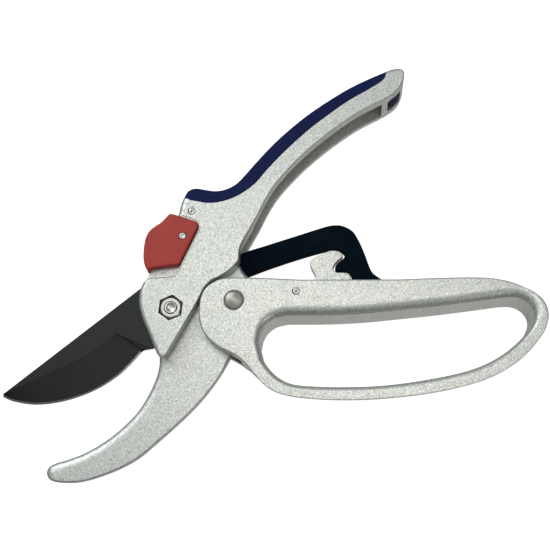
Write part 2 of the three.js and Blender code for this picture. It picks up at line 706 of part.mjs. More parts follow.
function detentSpring() {
  const half = leafLength / 2;
  const outer = [[-half, 1.6], [-half * 0.5, 1.5], [0, 0.7], [half * 0.5, 1.5], [half, 1.6]];
  const inner = outer.map(([x, y]) => [x, y - leafThickness]).reverse();
  return alongSlide(slab(outline(bend(...outer), bend(...inner)), leafBack + gap, leafFront - gap));
}

function catchPin() {
  return turned(catchPinPlace, [
    [0, 0.3], [rollPinRadius, 0.3], [rollPinRadius, catchPinTop - 0.3], [rollPinRadius - 0.3, catchPinTop],
    [0.7, catchPinTop], [0, catchPinTop - 0.3],
  ]);
}

// ---- end plug that closes the grip's tail inside the handle's end ----
function gripEndPlug() {
  const points = outline(
    bend([85.6, 88.7], [85.5, 90.4], [86.9, 92.1], [88.9, 92.3], [90.6, 91.2]),
    [89.6, 89.4],
    [87.6, 87.8],
  );
  return slab(points, channelBack + gap, channelFront - gap);
}

add('upper_handle', upperHandle(), silverPaint);
add('grip_insert', gripInsert(), navyRubber);
add('grip_end_plug', gripEndPlug(), navyRubber);
add('hook_jaw', hookJaw(), silverPaint);
add('pivot_bolt', pivotBolt(), zincPlate);
add('pivot_nut', pivotNut(), zincPlate);
add('blade_washer', bladeWasher(), zincPlate);
jawRivetPlaces.forEach((place, i) => add(`jaw_rivet_${i + 1}`, jawRivet(place), bareSteel));
add('anchor_pin', rollPin(anchorPlace, 0.4, front - 0.3), springSteel);
add('handle_rivet', handleRivet(), bareSteel);
add('rivet_washer', rivetWasher(), zincPlate);
add('return_spring', returnSpring(), springSteel);
add('arm_spring', armSpring(), springSteel);
add('cutting_blade', cuttingBlade(), blackBlade);
add('ratchet_arm', ratchetArm(), blackArm);
add('drive_hub', driveHub(), bareSteel);
add('loop_handle', loopHandle(), silverPaint);
add('handle_bumper', handleBumper(), blackRubber);
add('pawl_pin', rollPin(pawlPivot, 0.4, front - 0.3), springSteel);
add('pawl_spacer_rear', spacer(loopChannelBack + gap, armBack - gap), paleNylon);
add('pawl_spacer_front', spacer(pawlSpringFront + gap, loopChannelFront - gap), paleNylon);
add('pawl_spring', pawlSpring(), springSteel);
add('ratchet_pawl', ratchetPawl(), silverPaint);
add('safety_catch', safetyCatch(), redPlastic);
add('catch_pin', catchPin(), bareSteel);
add('detent_spring', detentSpring(), springSteel);

export default group;
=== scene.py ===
"""Looks of the ratchet bypass pruner: rounded castings, ground blade, soft grip and procedural finishes.

Outlines are in millimetres in the row frame, like the CAD model's, and become metres in the meshes.
"""

import math

import bmesh
import bpy
import numpy as np
from mathutils import Matrix, Vector


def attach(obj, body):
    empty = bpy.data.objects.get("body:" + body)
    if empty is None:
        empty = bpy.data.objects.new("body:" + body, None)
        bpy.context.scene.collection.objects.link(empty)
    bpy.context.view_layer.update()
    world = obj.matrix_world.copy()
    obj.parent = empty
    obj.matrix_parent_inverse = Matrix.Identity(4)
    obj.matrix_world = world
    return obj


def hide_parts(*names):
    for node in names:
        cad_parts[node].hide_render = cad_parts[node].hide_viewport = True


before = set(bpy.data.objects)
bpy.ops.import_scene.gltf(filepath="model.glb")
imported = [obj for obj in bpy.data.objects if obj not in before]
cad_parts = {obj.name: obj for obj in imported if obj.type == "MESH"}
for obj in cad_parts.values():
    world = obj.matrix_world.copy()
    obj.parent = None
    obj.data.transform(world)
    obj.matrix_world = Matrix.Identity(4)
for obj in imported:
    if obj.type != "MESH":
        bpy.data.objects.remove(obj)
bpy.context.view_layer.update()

MM = 0.001
SPAN_STEPS = 7  # steps on each span of a bend
ROUND_STEPS = 64  # steps on a full circle
SLOT_STEPS = 12  # steps along a bent slot
END_STEPS = 16  # steps round a slot's end
RIM_STEPS = 5  # steps on a rounded rim
COIL_STEPS = 32  # steps on a turn of a spring
WIRE_SIDES = 12
LEAST_STEP = 0.05  # points of an outline closer than this are one
MERGE = 0.004  # corners of a plate closer than this are one
WELD = 2e-6  # corners that a boolean leaves closer than this, in metres, are one
FILL_ROUNDS = 2  # closing a slit can leave a smaller one
PARALLEL = 1e-12  # stretches whose cross product is smaller don't cross
TURNED_BACK = 1e-6  # an outline doubles back where its two normals add up to less
LEAST_MITRE = 0.4  # keeps the inset of a sharp corner from running away
LOOP_WINDOW = 16  # how many points a small loop at a corner may take in
SOFTENED_ANGLE = math.radians(50)  # cut edges sharper than this are softened

# heights of the layers
REAR_CHEEK_TOP = 4.2
JAW_BACK = 4.5
JAW_REAR_WALL_TOP = 6.9
ARM_BACK = 7.2
ARM_FRONT = 11.7
JAW_WEB_BACK = 12.0
JAW_FRONT = 14.2
BLADE_BACK = 14.5
BLADE_FRONT = 17.5
CHEEK_BACK = 17.8
FRONT = 21.0
CHANNEL_BACK = 4.5
CHANNEL_FLOOR = 3.6
CHANNEL_FRONT = 16.5
THROUGH = 5.0

# places of the axes
MAIN_PIVOT = (0.0, 0.0)
HANDLE_PIVOT = (24.7, 2.7)
PAWL_PIVOT = (48.8, 6.0)
ANCHOR_PLACE = (7.5, 39.2)
CATCH_PIN_PLACE = (4.3, 28.6)
CATCH_TRAVEL = 3.6
CATCH_SLIDE = (-0.467 * CATCH_TRAVEL, -0.884 * CATCH_TRAVEL)
JAW_RIVET_PLACES = ((6.4, 10.6), (-4.4, -13.2))
SQUEEZE = 42.0  # the loop handle's swing, in degrees
RETURN_COIL = 6.4  # radius of the return spring
RETURN_FOOT = 200.0  # direction of its foot, in degrees
GAP = 0.3
RIVET_HEAD = 3.75
NUT_TOP = 20.95
JAW_DRAFT = 0.5
JAW_LEAN = 1.0
LOOP_DRAFT = 3.2
CATCH_PIN_RADIUS = 1.35
SEAM = 0.08  # hairline between the grip and the casting


# ---------------------------------------------------------------- outlines

def bend(*points):
    return {"bend": points}


def around(centre, distance, angle):
    return np.array([centre[0] + distance * math.cos(angle), centre[1] + distance * math.sin(angle)])


def arc(centre, radius, first, last, steps):
    """Points on an arc, from its first to its last angle in degrees."""
    angles = [math.radians(first + (last - first) * i / steps) for i in range(steps + 1)]
    return [around(centre, radius, angle) for angle in angles]


def spline(points, steps=SPAN_STEPS):
    """Points of a smooth curve through all the given points."""
    points = [np.array(p, float) for p in points]
    last = len(points) - 1
    found = []
    for i in range(last):
        before, start, end = points[max(i - 1, 0)], points[i], points[i + 1]
        after = points[min(i + 2, last)]
        leave, arrive = (end - before) / 2, (after - start) / 2
        for step in range(steps):
            t = step / steps
            cubic = 2 * start - 2 * end + leave + arrive
            square = -3 * start + 3 * end - 2 * leave - arrive
            found.append(cubic * t**3 + square * t**2 + leave * t + start)
    found.append(points[-1])
    return found


def rounded_corner(before, at, after, radius):
    back = (before - at) / np.linalg.norm(before - at)
    ahead = (after - at) / np.linalg.norm(after - at)
    half = math.acos(max(-1.0, min(1.0, float(back @ ahead)))) / 2
    middle = (back + ahead) / np.linalg.norm(back + ahead)
    centre = at + middle * radius / math.sin(half)
    start = at + back * radius / math.tan(half) - centre
    end = at + ahead * radius / math.tan(half) - centre
    first = math.atan2(start[1], start[0])
    turn = (math.atan2(end[1], end[0]) - first + math.pi) % (2 * math.pi) - math.pi
    steps = max(3, math.ceil(abs(turn) / (2 * math.pi) * ROUND_STEPS))
    return [around(centre, radius, first + turn * i / steps) for i in range(steps + 1)]


def outline(*stretches):
    """An outline from corners (x, y, radius) and bends."""
    corners = []
    for stretch in stretches:
        if isinstance(stretch, dict):
            corners += [(p, 0.0) for p in spline(stretch["bend"])]
        else:
            corners.append((np.array(stretch[:2], float), stretch[2] if len(stretch) > 2 else 0.0))
    found = []
    for i, (at, radius) in enumerate(corners):
        if radius == 0.0:
            found.append(at)
            continue
        before, after = corners[i - 1][0], corners[(i + 1) % len(corners)][0]
        found += rounded_corner(before, at, after, radius)
    return counterclockwise(without_repeats(found))


def without_repeats(points):
    kept = [points[0]]
    for p in points[1:]:
        if np.linalg.norm(p - kept[-1]) > LEAST_STEP:
            kept.append(p)
    if np.linalg.norm(kept[0] - kept[-1]) < LEAST_STEP:
        kept.pop()
    return kept


def area(points):
    return sum(a[0] * b[1] - b[0] * a[1] for a, b in zip(points, points[1:] + points[:1])) / 2


def counterclockwise(points):
    return points if area(points) > 0 else points[::-1]


def circle(place, radius, steps=ROUND_STEPS):
    return [around(place, radius, 2 * math.pi * i / steps) for i in range(steps)]


def polygon(place, across_flats, sides=6, turn=0.0, corner=0.0):
    reach = across_flats / 2 / math.cos(math.pi / sides)
    angles = [turn + 2 * math.pi * i / sides for i in range(sides)]
    return outline(*[(*around(place, reach, angle), corner) for angle in angles])


def beside(points, distance):
    """Points moved sideways, to the right of their direction when distance is positive."""
    moved = []
    for i, p in enumerate(points):
        along = points[min(i + 1, len(points) - 1)] - points[max(i - 1, 0)]
        along = along / np.linalg.norm(along)
        moved.append(p + distance * np.array([along[1], -along[0]]))
    return moved


def ribbon(points, first, second):
    """The outline of a band along points, between two distances beside them."""
    return counterclockwise(beside(points, first) + beside(points, second)[::-1])


def crossing(a, b, c, d):
    """Where the stretch from a to b crosses the one from c to d, if it does."""
    along, across = b - a, d - c
    size = along[0] * across[1] - along[1] * across[0]
    if abs(size) < PARALLEL:
        return None
    between = c - a
    first = (between[0] * across[1] - between[1] * across[0]) / size
    second = (between[0] * along[1] - between[1] * along[0]) / size
    return a + along * first if 0 < first < 1 and 0 < second < 1 else None


def inset(points, distances):
    """A closed counterclockwise outline moved inwards, with the small loops at tight corners cut off."""
    count = len(points)
    moved = []
    for i, p in enumerate(points):
        back, ahead = p - points[i - 1], points[(i + 1) % count] - p
        back, ahead = back / np.linalg.norm(back), ahead / np.linalg.norm(ahead)
        left = np.array([-back[1] - ahead[1], back[0] + ahead[0]])
        size = np.linalg.norm(left)
        left = left / size if size > TURNED_BACK else np.array([-back[1], back[0]])
        half = max(LEAST_MITRE, math.sqrt(max(0.0, (1 + float(back @ ahead)) / 2)))
        moved.append(p + left * distances[i] / half)
    for i in range(count):
        for reach in range(LOOP_WINDOW, 1, -1):
            j = (i + reach) % count
            found = crossing(moved[i], moved[(i + 1) % count], moved[j], moved[(j + 1) % count])
            if found is None:
                continue
            for k in range(i + 1, i + reach + 1):
                moved[k % count] = found
            break
    return moved


def grown(points, distance):
    return inset(points, [-distance] * len(points))


# ---------------------------------------------------------------- meshes

def new_object(bm, name="piece"):
    bmesh.ops.recalc_face_normals(bm, faces=bm.faces)
    mesh = bpy.data.meshes.new(name)
    bm.to_mesh(mesh)
    bm.free()
    piece = bpy.data.objects.new(name, mesh)
    bpy.context.scene.collection.objects.link(piece)
    return piece


def raised(points, height):
    return [(p[0], p[1], height) for p in points]


def skin(bm, rings, closed=False):
    """Adds faces between neighbouring rings of (x, y, z) points; a ring may be a single point."""
    rings = [[bm.verts.new([value * MM for value in p]) for p in ring] for ring in rings]
    following = rings[1:] + rings[:1] if closed else rings[1:]
    for lower, upper in zip(rings, following):
        count = max(len(lower), len(upper))
        for i in range(count):
            places = ((lower, i), (lower, i + 1), (upper, i + 1), (upper, i))
            corners = [ring[place % len(ring)] for ring, place in places]
            bm.faces.new(list(dict.fromkeys(corners)))
    return rings


def tube(rings):
    """A solid over rings, with flat ends."""
    bm = bmesh.new()
    rings = skin(bm, rings)
    bm.faces.new(rings[0][::-1])
    bm.faces.new(rings[-1])
    return new_object(bm)


def quarter(steps):
    """How far a rounded edge is from its side and from its face, over a quarter turn."""
    angles = [math.pi / 2 * i / steps for i in range(steps + 1)]
    return [(1 - math.sin(angle), 1 - math.cos(angle)) for angle in angles]


def rim(radius, low, high, steps=RIM_STEPS, back_radius=None, spread=1.0):
    """Inset and height pairs of a plate's edge, from its back face round to its front face.

    spread widens the front's rounding without deepening it.
    """
    back_radius = radius if back_radius is None else back_radius
    rows = [(back_radius * a, low + back_radius * b) for a, b in quarter(steps)]
    return rows + [(radius * spread * b, high - radius * a) for a, b in quarter(steps)]


def plate(points, rows, holes=(), scale=None, draft=None):
    """A plate whose edge follows rows of (inset, height), like its holes' edges.

    scale varies the inset round the outline, and draft is how far each point draws in at the back face.
    holes are (outline, rows, scale), with the same heights at both ends.
    """
    bm = bmesh.new()
    contours = [(points, rows, 1.0, scale, draft)]
    contours += [(hole, hole_rows, -1.0, hole_scale, None) for hole, hole_rows, hole_scale in holes]
    for contour, profile, inwards, factors, leans in contours:
        factors = factors or [1.0] * len(contour)
        leans = leans or [0.0] * len(contour)
        top, depth = profile[-1][1], profile[-1][1] - profile[0][1]
        rings = []
        for distance, height in profile:
            drop = (top - height) / depth
            ring = inset(contour, [inwards * (distance * f + drop * lean) for f, lean in zip(factors, leans)])
            rings.append(raised(ring, height))
        skin(bm, rings)
    bmesh.ops.remove_doubles(bm, verts=bm.verts, dist=MERGE * MM)
    middle = (rows[0][1] + rows[-1][1]) / 2 * MM
    rims = [edge for edge in bm.edges if len(edge.link_faces) == 1]
    for side in (-1, 1):
        cap = [edge for edge in rims if (edge.verts[0].co.z - middle) * side > 0]
        bmesh.ops.triangle_fill(bm, use_beauty=True, use_dissolve=False, edges=cap)
    return new_object(bm)


def slab(points, low=-THROUGH, high=FRONT + THROUGH):
    """A straight-sided plate, which reaches right through the tool where no heights are given."""
    return plate(points, [(0.0, low), (0.0, high)])


def drum(place, radius, low=-THROUGH, high=FRONT + THROUGH):
    return slab(circle(place, radius), low, high)


def slide_slot(place, radius):
    """The slot that a round piece sweeps as it slides with the catch."""
    end = (place[0] + CATCH_SLIDE[0], place[1] + CATCH_SLIDE[1])
    along = math.atan2(CATCH_SLIDE[1], CATCH_SLIDE[0])
    points = []
    for centre, facing in ((end, along), (place, along + math.pi)):
        angles = [facing - math.pi / 2 + math.pi * i / END_STEPS for i in range(END_STEPS + 1)]
        points += [around(centre, radius, angle) for angle in angles]
    return slab(points)


def arc_slot(centre, distance, first, last, radius, low, high):
    """A slot bent round a centre, from its first to its last angle in degrees."""
    return slab(ribbon(arc(centre, distance, first, last, SLOT_STEPS), radius, -radius), low, high)


def turned(place, profile, steps=ROUND_STEPS):
    """A turned piece from (radius, height) pairs that start and end on the axis."""
    bm = bmesh.new()
    rings = [(circle(place, radius, steps) if radius else [place], height) for radius, height in profile]
    skin(bm, [raised(ring, height) for ring, height in rings])
    return new_object(bm)


def combine(piece, others, operation):
    """Cuts the others from piece, or joins or keeps what they share, for good."""
    for other in others:
        modifier = piece.modifiers.new("combine", "BOOLEAN")
        modifier.operation = operation
        modifier.solver = "EXACT"
        modifier.object = other
        bake_modifiers(piece)
        bpy.data.objects.remove(other)
    return piece


def cut(piece, *others):
    return combine(piece, others, "DIFFERENCE")


def join(piece, *others):
    return combine(piece, others, "UNION")


def keep_shared(piece, *others):
    return combine(piece, others, "INTERSECT")


def bake_modifiers(piece):
    graph = bpy.context.evaluated_depsgraph_get()
    mesh = bpy.data.meshes.new_from_object(piece.evaluated_get(graph))
    old = piece.data
    piece.modifiers.clear()
    piece.data = mesh
    bpy.data.meshes.remove(old)


def tidy(piece):
    """Merges what booleans leave doubled, drops faces without area and closes the slits left behind."""
    bm = bmesh.new()
    bm.from_mesh(piece.data)
    bmesh.ops.remove_doubles(bm, verts=bm.verts, dist=WELD)
    bmesh.ops.dissolve_degenerate(bm, edges=bm.edges, dist=WELD)
    for _ in range(FILL_ROUNDS):
        slits = [edge for edge in bm.edges if len(edge.link_faces) == 1]
        bmesh.ops.holes_fill(bm, edges=slits, sides=0)
    bm.to_mesh(piece.data)
    bm.free()


def soften_edges(piece, width):
    modifier = piece.modifiers.new("soften", "BEVEL")
    modifier.width = width * MM
    modifier.segments = 2
    modifier.limit_method = "ANGLE"
    modifier.angle_limit = SOFTENED_ANGLE
    modifier.use_clamp_overlap = True
    bake_modifiers(piece)


def smooth_faces(piece, sharp_degrees):
    """Smooths the shading up to an angle between faces and keeps flat faces flat."""
    bm = bmesh.new()
    bm.from_mesh(piece.data)
    for face in bm.faces:
        face.smooth = True
    for edge in bm.edges:
        edge.smooth = len(edge.link_faces) == 2 and edge.calc_face_angle(0.0) < math.radians(sharp_degrees)
    bm.to_mesh(piece.data)
    bm.free()
    weighted = piece.modifiers.new("weighted", "WEIGHTED_NORMAL")
    weighted.keep_sharp = True


def finish(piece, name, body, material, node, soften=0.0, sharp_degrees=32.0):
    """Cleans a piece up, names it, gives it its material, ties it to its body and hides the CAD node it
    stands for.
    """
    tidy(piece)
    if soften:
        soften_edges(piece, soften)
    smooth_faces(piece, sharp_degrees)
    piece.name = name
    piece.data.name = name
    piece.data.materials.append(material)
    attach(piece, body)
    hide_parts(node)


# ---------------------------------------------------------------- materials

MIX_FACTOR, MIX_FIRST, MIX_SECOND, MIX_RESULT = 0, 6, 7, 2  # the mix node's sockets for colours


class Nodes:
    """A short way to write a material's nodes."""

    def __init__(self, name):
        self.material = bpy.data.materials.new(name)
        self.material.use_nodes = True
        self.tree = self.material.node_tree
        self.shader = self.tree.nodes["Principled BSDF"]
        self.coordinates = self.tree.nodes.new("ShaderNodeTexCoord").outputs["Object"]

    def node(self, kind, **values):
        made = self.tree.nodes.new(kind)
        for key, value in values.items():
            if key in made.inputs:
                made.inputs[key].default_value = value
            else:
                setattr(made, key, value)
        return made

    def link(self, output, node, socket):
        self.tree.links.new(output, node.inputs[socket])

    def drive(self, socket, output):
        """Feeds a socket of the shader."""
        self.link(output, self.shader, socket)

    def set(self, **values):
        for key, value in values.items():
            self.shader.inputs[key.replace("_", " ")].default_value = value

    def vector_math(self, operation, first, second=(0.0, 0.0, 0.0)):
        made = self.node("ShaderNodeVectorMath", operation=operation)
        self.link(first, made, 0)
        made.inputs[1].default_value = second
        return made.outputs

    def noise(self, per_mm, detail, vector=None):
        made = self.node("ShaderNodeTexNoise", Scale=per_mm / MM, Detail=detail)
        self.link(self.coordinates if vector is None else vector, made, "Vector")
        return made.outputs["Fac"]

    def cells(self, per_mm):
        made = self.node("ShaderNodeTexVoronoi", Scale=per_mm / MM)
        self.link(self.coordinates, made, "Vector")
        return made

    def ramp(self, value, stops):
        made = self.node("ShaderNodeValToRGB")
        elements = made.color_ramp.elements
        while len(elements) < len(stops):
            elements.new(0.5)
        for element, (position, colour) in zip(elements, stops):
            element.position = position
            element.color = (*colour, 1.0) if isinstance(colour, tuple) else (colour, colour, colour, 1.0)
        self.link(value, made, "Fac")
        return made.outputs["Color"]

    def between(self, value, first, second):
        """Passes from first to second over the middle of a noise's range."""
        return self.ramp(value, [(0.3, first), (0.7, second)])

    def drift(self, socket, per_mm, detail, first, second):
        """Lets a socket of the shader drift between two values."""
        self.drive(socket, self.between(self.noise(per_mm, detail), first, second))

    def mix(self, factor, first, second, blend="MIX"):
        made = self.node("ShaderNodeMix", data_type="RGBA", blend_type=blend)
        made.inputs[MIX_FACTOR].default_value = factor
        self.link(first, made, MIX_FIRST)
        self.link(second, made, MIX_SECOND)
        return made.outputs[MIX_RESULT]

    def bump(self, height, distance_mm, strength, normal=None):
        made = self.node("ShaderNodeBump", Distance=distance_mm * MM, Strength=strength)
        self.link(height, made, "Height")
        if normal is not None:
            self.link(normal, made, "Normal")
        return made.outputs["Normal"]

    def relief(self, per_mm, detail, distance_mm, strength, under=None):
        """A fine random relief, over another bump if there is one."""
        self.drive("Normal", self.bump(self.noise(per_mm, detail), distance_mm, strength, under))


def silver_paint():
    """Metallic paint: light and dark flakes under a satin coat."""
    grain = 2.7
    made = Nodes("silver_paint")
    flakes = made.cells(grain)
    coarse_grey = made.ramp(flakes.outputs["Color"], [
        (0.0, (0.20, 0.21, 0.20)), (0.3, (0.57, 0.585, 0.56)), (0.7, (0.72, 0.735, 0.705)),
        (0.85, (0.96, 0.97, 0.93)), (1.0, (1.0, 1.0, 0.98)),
    ])
    fine = made.cells(grain * 1.35).outputs["Color"]
    fine_grey = made.ramp(fine, [
        (0.0, (0.14, 0.145, 0.14)), (0.5, (0.64, 0.655, 0.63)), (1.0, (1.0, 1.0, 0.98)),
    ])
    flecked = made.mix(0.5, coarse_grey, fine_grey)
    cloud = made.between(made.noise(0.12, 3.0), (0.96, 0.98, 0.98), (0.99, 1.0, 0.965))
    made.drive("Base Color", made.mix(1.0, flecked, cloud, "MULTIPLY"))
    made.drive("Roughness", made.ramp(fine, [(0.0, 0.46), (1.0, 0.32)]))
    made.set(Metallic=0.6, Coat_Weight=0.2, Coat_Roughness=0.3)
    waviness = made.bump(made.noise(2.2, 2.0), 0.03, 0.2)
    made.drive("Normal", made.bump(flakes.outputs["Distance"], 0.05, 0.5, waviness))
    return made.material


def navy_rubber():
    """Soft grip: fine pebble and faint bloom."""
    made = Nodes("navy_rubber")
    made.drift("Base Color", 0.25, 4.0, (0.0028, 0.0085, 0.058), (0.005, 0.0125, 0.082))
    made.drift("Roughness", 1.4, 3.0, 0.5, 0.64)
    made.set(Specular_IOR_Level=0.12)
    pebble = made.bump(made.cells(3.2).outputs["Distance"], 0.03, 0.35)
    made.relief(6.0, 2.0, 0.01, 0.3, pebble)
    return made.material


def red_plastic():
    """Moulded plastic with a fine spark texture."""
    made = Nodes("red_plastic")
    made.drift("Base Color", 0.2, 3.0, (0.42, 0.045, 0.036), (0.48, 0.058, 0.046))
    made.drift("Roughness", 2.5, 3.0, 0.42, 0.55)
    made.set(Specular_IOR_Level=0.25)
    made.relief(5.0, 3.0, 0.015, 0.4)
    return made.material


def black_blade():
    """Non-stick coating over ground steel: matte, with faint streaks across the blade."""
    made = Nodes("black_blade")
    mapping = made.node("ShaderNodeMapping", Scale=(0.25, 3.0, 1.0), Rotation=(0.0, 0.0, math.radians(-38)))
    made.link(made.coordinates, mapping, "Vector")
    streaks = made.noise(1.2, 3.0, mapping.outputs["Vector"])
    cloud = made.between(made.noise(0.05, 3.0), (0.0095, 0.0125, 0.012), (0.0165, 0.02, 0.019))
    made.drive("Base Color", made.mix(0.25, cloud, made.between(streaks, 0.011, 0.026)))
    made.drive("Roughness", made.between(streaks, 0.42, 0.56))
    made.set(Specular_IOR_Level=0.3)
    made.drive("Normal", made.bump(streaks, 0.01, 0.25))
    return made.material


def honed_edge():
    """The bare sharpened edge."""
    made = Nodes("honed_edge")
    made.drift("Base Color", 3.0, 3.0, (0.5, 0.5, 0.48), (0.78, 0.78, 0.76))
    made.drift("Roughness", 5.0, 2.0, 0.2, 0.34)
    made.set(Metallic=1.0)
    return made.material


def black_arm():
    """Blackened stamping with a satin sheen."""
    made = Nodes("black_arm")
    made.drift("Base Color", 0.12, 4.0, (0.003, 0.0068, 0.0115), (0.005, 0.0105, 0.0165))
    made.drift("Roughness", 1.5, 4.0, 0.42, 0.56)
    made.set(Specular_IOR_Level=0.02, IOR=1.15)
    made.relief(2.2, 3.0, 0.015, 0.3)
    return made.material


def turned_metal(name, place, light, dark, roughness, rings_per_mm=5.0, metallic=1.0):
    """Bare metal with fine turning marks about a vertical axis."""
    made = Nodes(name)
    centred = made.vector_math("SUBTRACT", made.coordinates, (place[0] * MM, place[1] * MM, 0.0))
    flat = made.vector_math("MULTIPLY", centred["Vector"], (1.0, 1.0, 0.0))
    radius = made.vector_math("LENGTH", flat["Vector"])
    marks = made.node("ShaderNodeTexNoise", noise_dimensions="1D", Scale=rings_per_mm / MM, Detail=3.0)
    made.link(radius["Value"], marks, "W")
    tone = made.between(marks.outputs["Fac"], dark, light)
    cloud = made.ramp(made.noise(0.8, 4.0), [(0.25, 0.86), (0.75, 1.0)])
    made.drive("Base Color", made.mix(1.0, tone, cloud, "MULTIPLY"))
    made.drift("Roughness", 2.0, 3.0, roughness - 0.06, roughness + 0.08)
    made.set(Metallic=metallic)
    made.drive("Normal", made.bump(marks.outputs["Fac"], 0.008, 0.4))
    return made.material


def plain_steel(name, light, dark, roughness):
    """Drawn or tumbled steel with fine mottling."""
    made = Nodes(name)
    made.drift("Base Color", 1.8, 4.0, dark, light)
    made.drift("Roughness", 3.0, 3.0, roughness - 0.06, roughness + 0.1)
    made.set(Metallic=1.0)
    made.relief(4.0, 2.0, 0.01, 0.3)
    return made.material


def soft_black():
    made = Nodes("black_rubber")
    made.drift("Base Color", 0.8, 3.0, (0.008, 0.008, 0.009), (0.015, 0.015, 0.017))
    made.set(Roughness=0.75)
    made.relief(3.0, 3.0, 0.03, 0.4)
    return made.material


def pale_nylon():
    made = Nodes("pale_nylon")
    made.drift("Base Color", 0.6, 3.0, (0.62, 0.6, 0.54), (0.7, 0.68, 0.62))
    made.set(Roughness=0.5, Subsurface_Weight=0.1)
    made.relief(2.0, 3.0, 0.02, 0.3)
    return made.material


SILVER = silver_paint()
NAVY = navy_rubber()
RED = red_plastic()
BLADE = black_blade()
EDGE = honed_edge()
ARM = black_arm()
RUBBER = soft_black()
NYLON = pale_nylon()
SPRING = plain_steel("spring_steel", (0.42, 0.41, 0.38), (0.24, 0.235, 0.22), 0.35)
STAINLESS = turned_metal("stainless", HANDLE_PIVOT, (0.42, 0.42, 0.36), (0.31, 0.31, 0.27), 0.36, 3.0, 0.8)
PIN_STEEL = plain_steel("pin_steel", (0.66, 0.66, 0.63), (0.52, 0.51, 0.49), 0.32)
ZINC = turned_metal("zinc_steel", MAIN_PIVOT, (0.56, 0.57, 0.53), (0.42, 0.43, 0.40), 0.3)


# ---------------------------------------------------------------- upper handle and grip

HANDLE_BACK = [
    (4.6, 44.7), (6.3, 47.6), (8.9, 48.5), (12.5, 47.9), (16.8, 47.3), (21.1, 48.0), (25.3, 50.2),
    (29.0, 54.0), (33.4, 59.2), (39.6, 66.1), (46.7, 72.9), (54.8, 79.6), (64.2, 86.1), (73.5, 91.6),
    (85.4, 97.0),
]
HANDLE_OUTLINE = outline(
    bend((-2.6, -19.4), (-4.7, -18.4), (-6.5, -14.8), (-9.0, -8.9), (-10.8, -4.9), (-12.1, -0.9),
         (-12.8, 3.1), (-12.4, 7.4), (-10.9, 11.2), (-8.5, 15.4)),
    bend((2.2, 38.4), (3.2, 41.7), *HANDLE_BACK, (89.2, 98.3), (92.1, 98.1), (93.2, 95.9), (92.0, 91.6),
         (89.3, 88.1), (84.0, 84.7), (76.4, 80.8), (70.2, 76.9), (64.0, 72.4), (57.8, 67.4), (51.6, 61.8),
         (45.5, 55.4), (40.6, 49.4), (37.0, 43.4), (33.1, 35.6), (29.4, 28.9), (27.3, 24.9), (26.7, 22.4),
         (26.6, 19.6)),
    bend((26.2, 18.2), (23.3, 15.2), (19.6, 12.6), (15.7, 10.7), (12.9, 7.6), (10.8, 3.2), (8.6, -1.1),
         (5.6, -6.4), (3.0, -11.0), (0.7, -15.0), (-1.0, -18.2)),
)
GRIP_REGION = outline(
    bend((3.2, 47.0), (5.2, 44.5), (9.5, 43.2), (15.0, 42.4), (21.2, 43.4), (27.1, 46.0), (32.7, 50.2),
         (36.9, 55.2), (41.9, 60.8), (48.0, 66.9), (55.4, 73.6), (62.9, 79.4), (70.4, 84.8), (77.8, 89.1),
         (82.8, 92.2), (85.3, 94.6), (86.0, 97.8)),
    (84.0, 103.0),
    (30.0, 75.0),
    (2.0, 56.0),
)
BACK_LINE = spline(HANDLE_BACK)
CHANNEL_WALL = 4.7
CHANNEL_STRETCH = slice(21, -24)  # the points of the back that the channel follows
GRIP_DEPTH = 2.2
GRIP_SWELL = 0.6
SWELL_START = 39.0
SWELL_LENGTH = 5.0
CAVITY_OUTLINE = outline(
    (-14.0, -40.0), (-14.0, 8.2), (-8.6, 11.2), (-6.2, 15.2), (3.8, 37.0, 2.0), (8.2, 36.2, 2.0),
    (12.0, 43.4), (60.0, 43.4), (60.0, -40.0),
)
CHANNEL_OUTLINE = outline(
    (9.4, 36.0),
    bend(*[tuple(p) for p in beside(BACK_LINE, CHANNEL_WALL)[CHANNEL_STRETCH]]),
    (83.6, 90.4, 1.5),
    (84.6, 80.0),
    (60.0, 30.0),
)
END_POCKET_OUTLINE = outline(
    bend((86.6, 86.0), (85.6, 88.4), (85.9, 91.0), (87.6, 92.8), (89.9, 92.9), (91.6, 91.2)),
    (97.0, 87.0),
    (89.0, 81.0),
)
END_PLUG_OUTLINE = outline(
    bend((87.4, 87.9), (86.5, 89.2), (86.4, 91.0), (87.7, 92.4), (89.7, 92.5), (91.1, 91.0), (90.4, 89.4),
         (89.0, 88.2)),
)
CATCH_RECESS_OUTLINE = outline(
    (-16.0, 10.7), (-10.4, 10.8), (-8.8, 12.1), (-0.1, 12.7, 1.0), (1.9, 13.3, 2.0), (10.5, 31.4),
    (10.9, 34.2, 2.4), (-0.8, 38.6), (-16.0, 40.0),
)
CATCH_SIDE_OUTLINE = outline((-16.0, 10.7), (-10.7, 10.7), (2.2, 38.4), (-16.0, 40.0))
BLADE_SWEEP_OUTLINE = outline(
    (-20.0, 10.2), (-13.0, 10.8), (-7.0, 11.5), (0.0, 11.2), (6.0, -9.0), (6.0, -22.0), (-20.0, -22.0),
)
RECESS_FRONT = 18.6
RECESS_BACK = 2.4
NUT_TURN = math.radians(30 - 7)
FACING_START = -0.5
FACING_LENGTH = 1.3
EVENING_ROUNDS = 10
LIT_SIDE = (-0.75, 0.66)
SHADED_SIDE = (0.75, -0.66)


def back_strip(depth):
    """The strip of the handle's back that lies less than depth below its surface."""
    return slab(ribbon(BACK_LINE, -4.0, depth))


def grip_hollow(depth):
    """The room inside the grip, wider than the grip itself so that emptying it leaves no skin."""
    return cut(slab(grown(GRIP_REGION, 1.0), depth, FRONT - depth), back_strip(depth))


def ramped(value, start, length):
    """0 up to start and then rising to 1 over length; a negative length rises the other way."""
    return max(0.0, min(1.0, (value - start) / length))


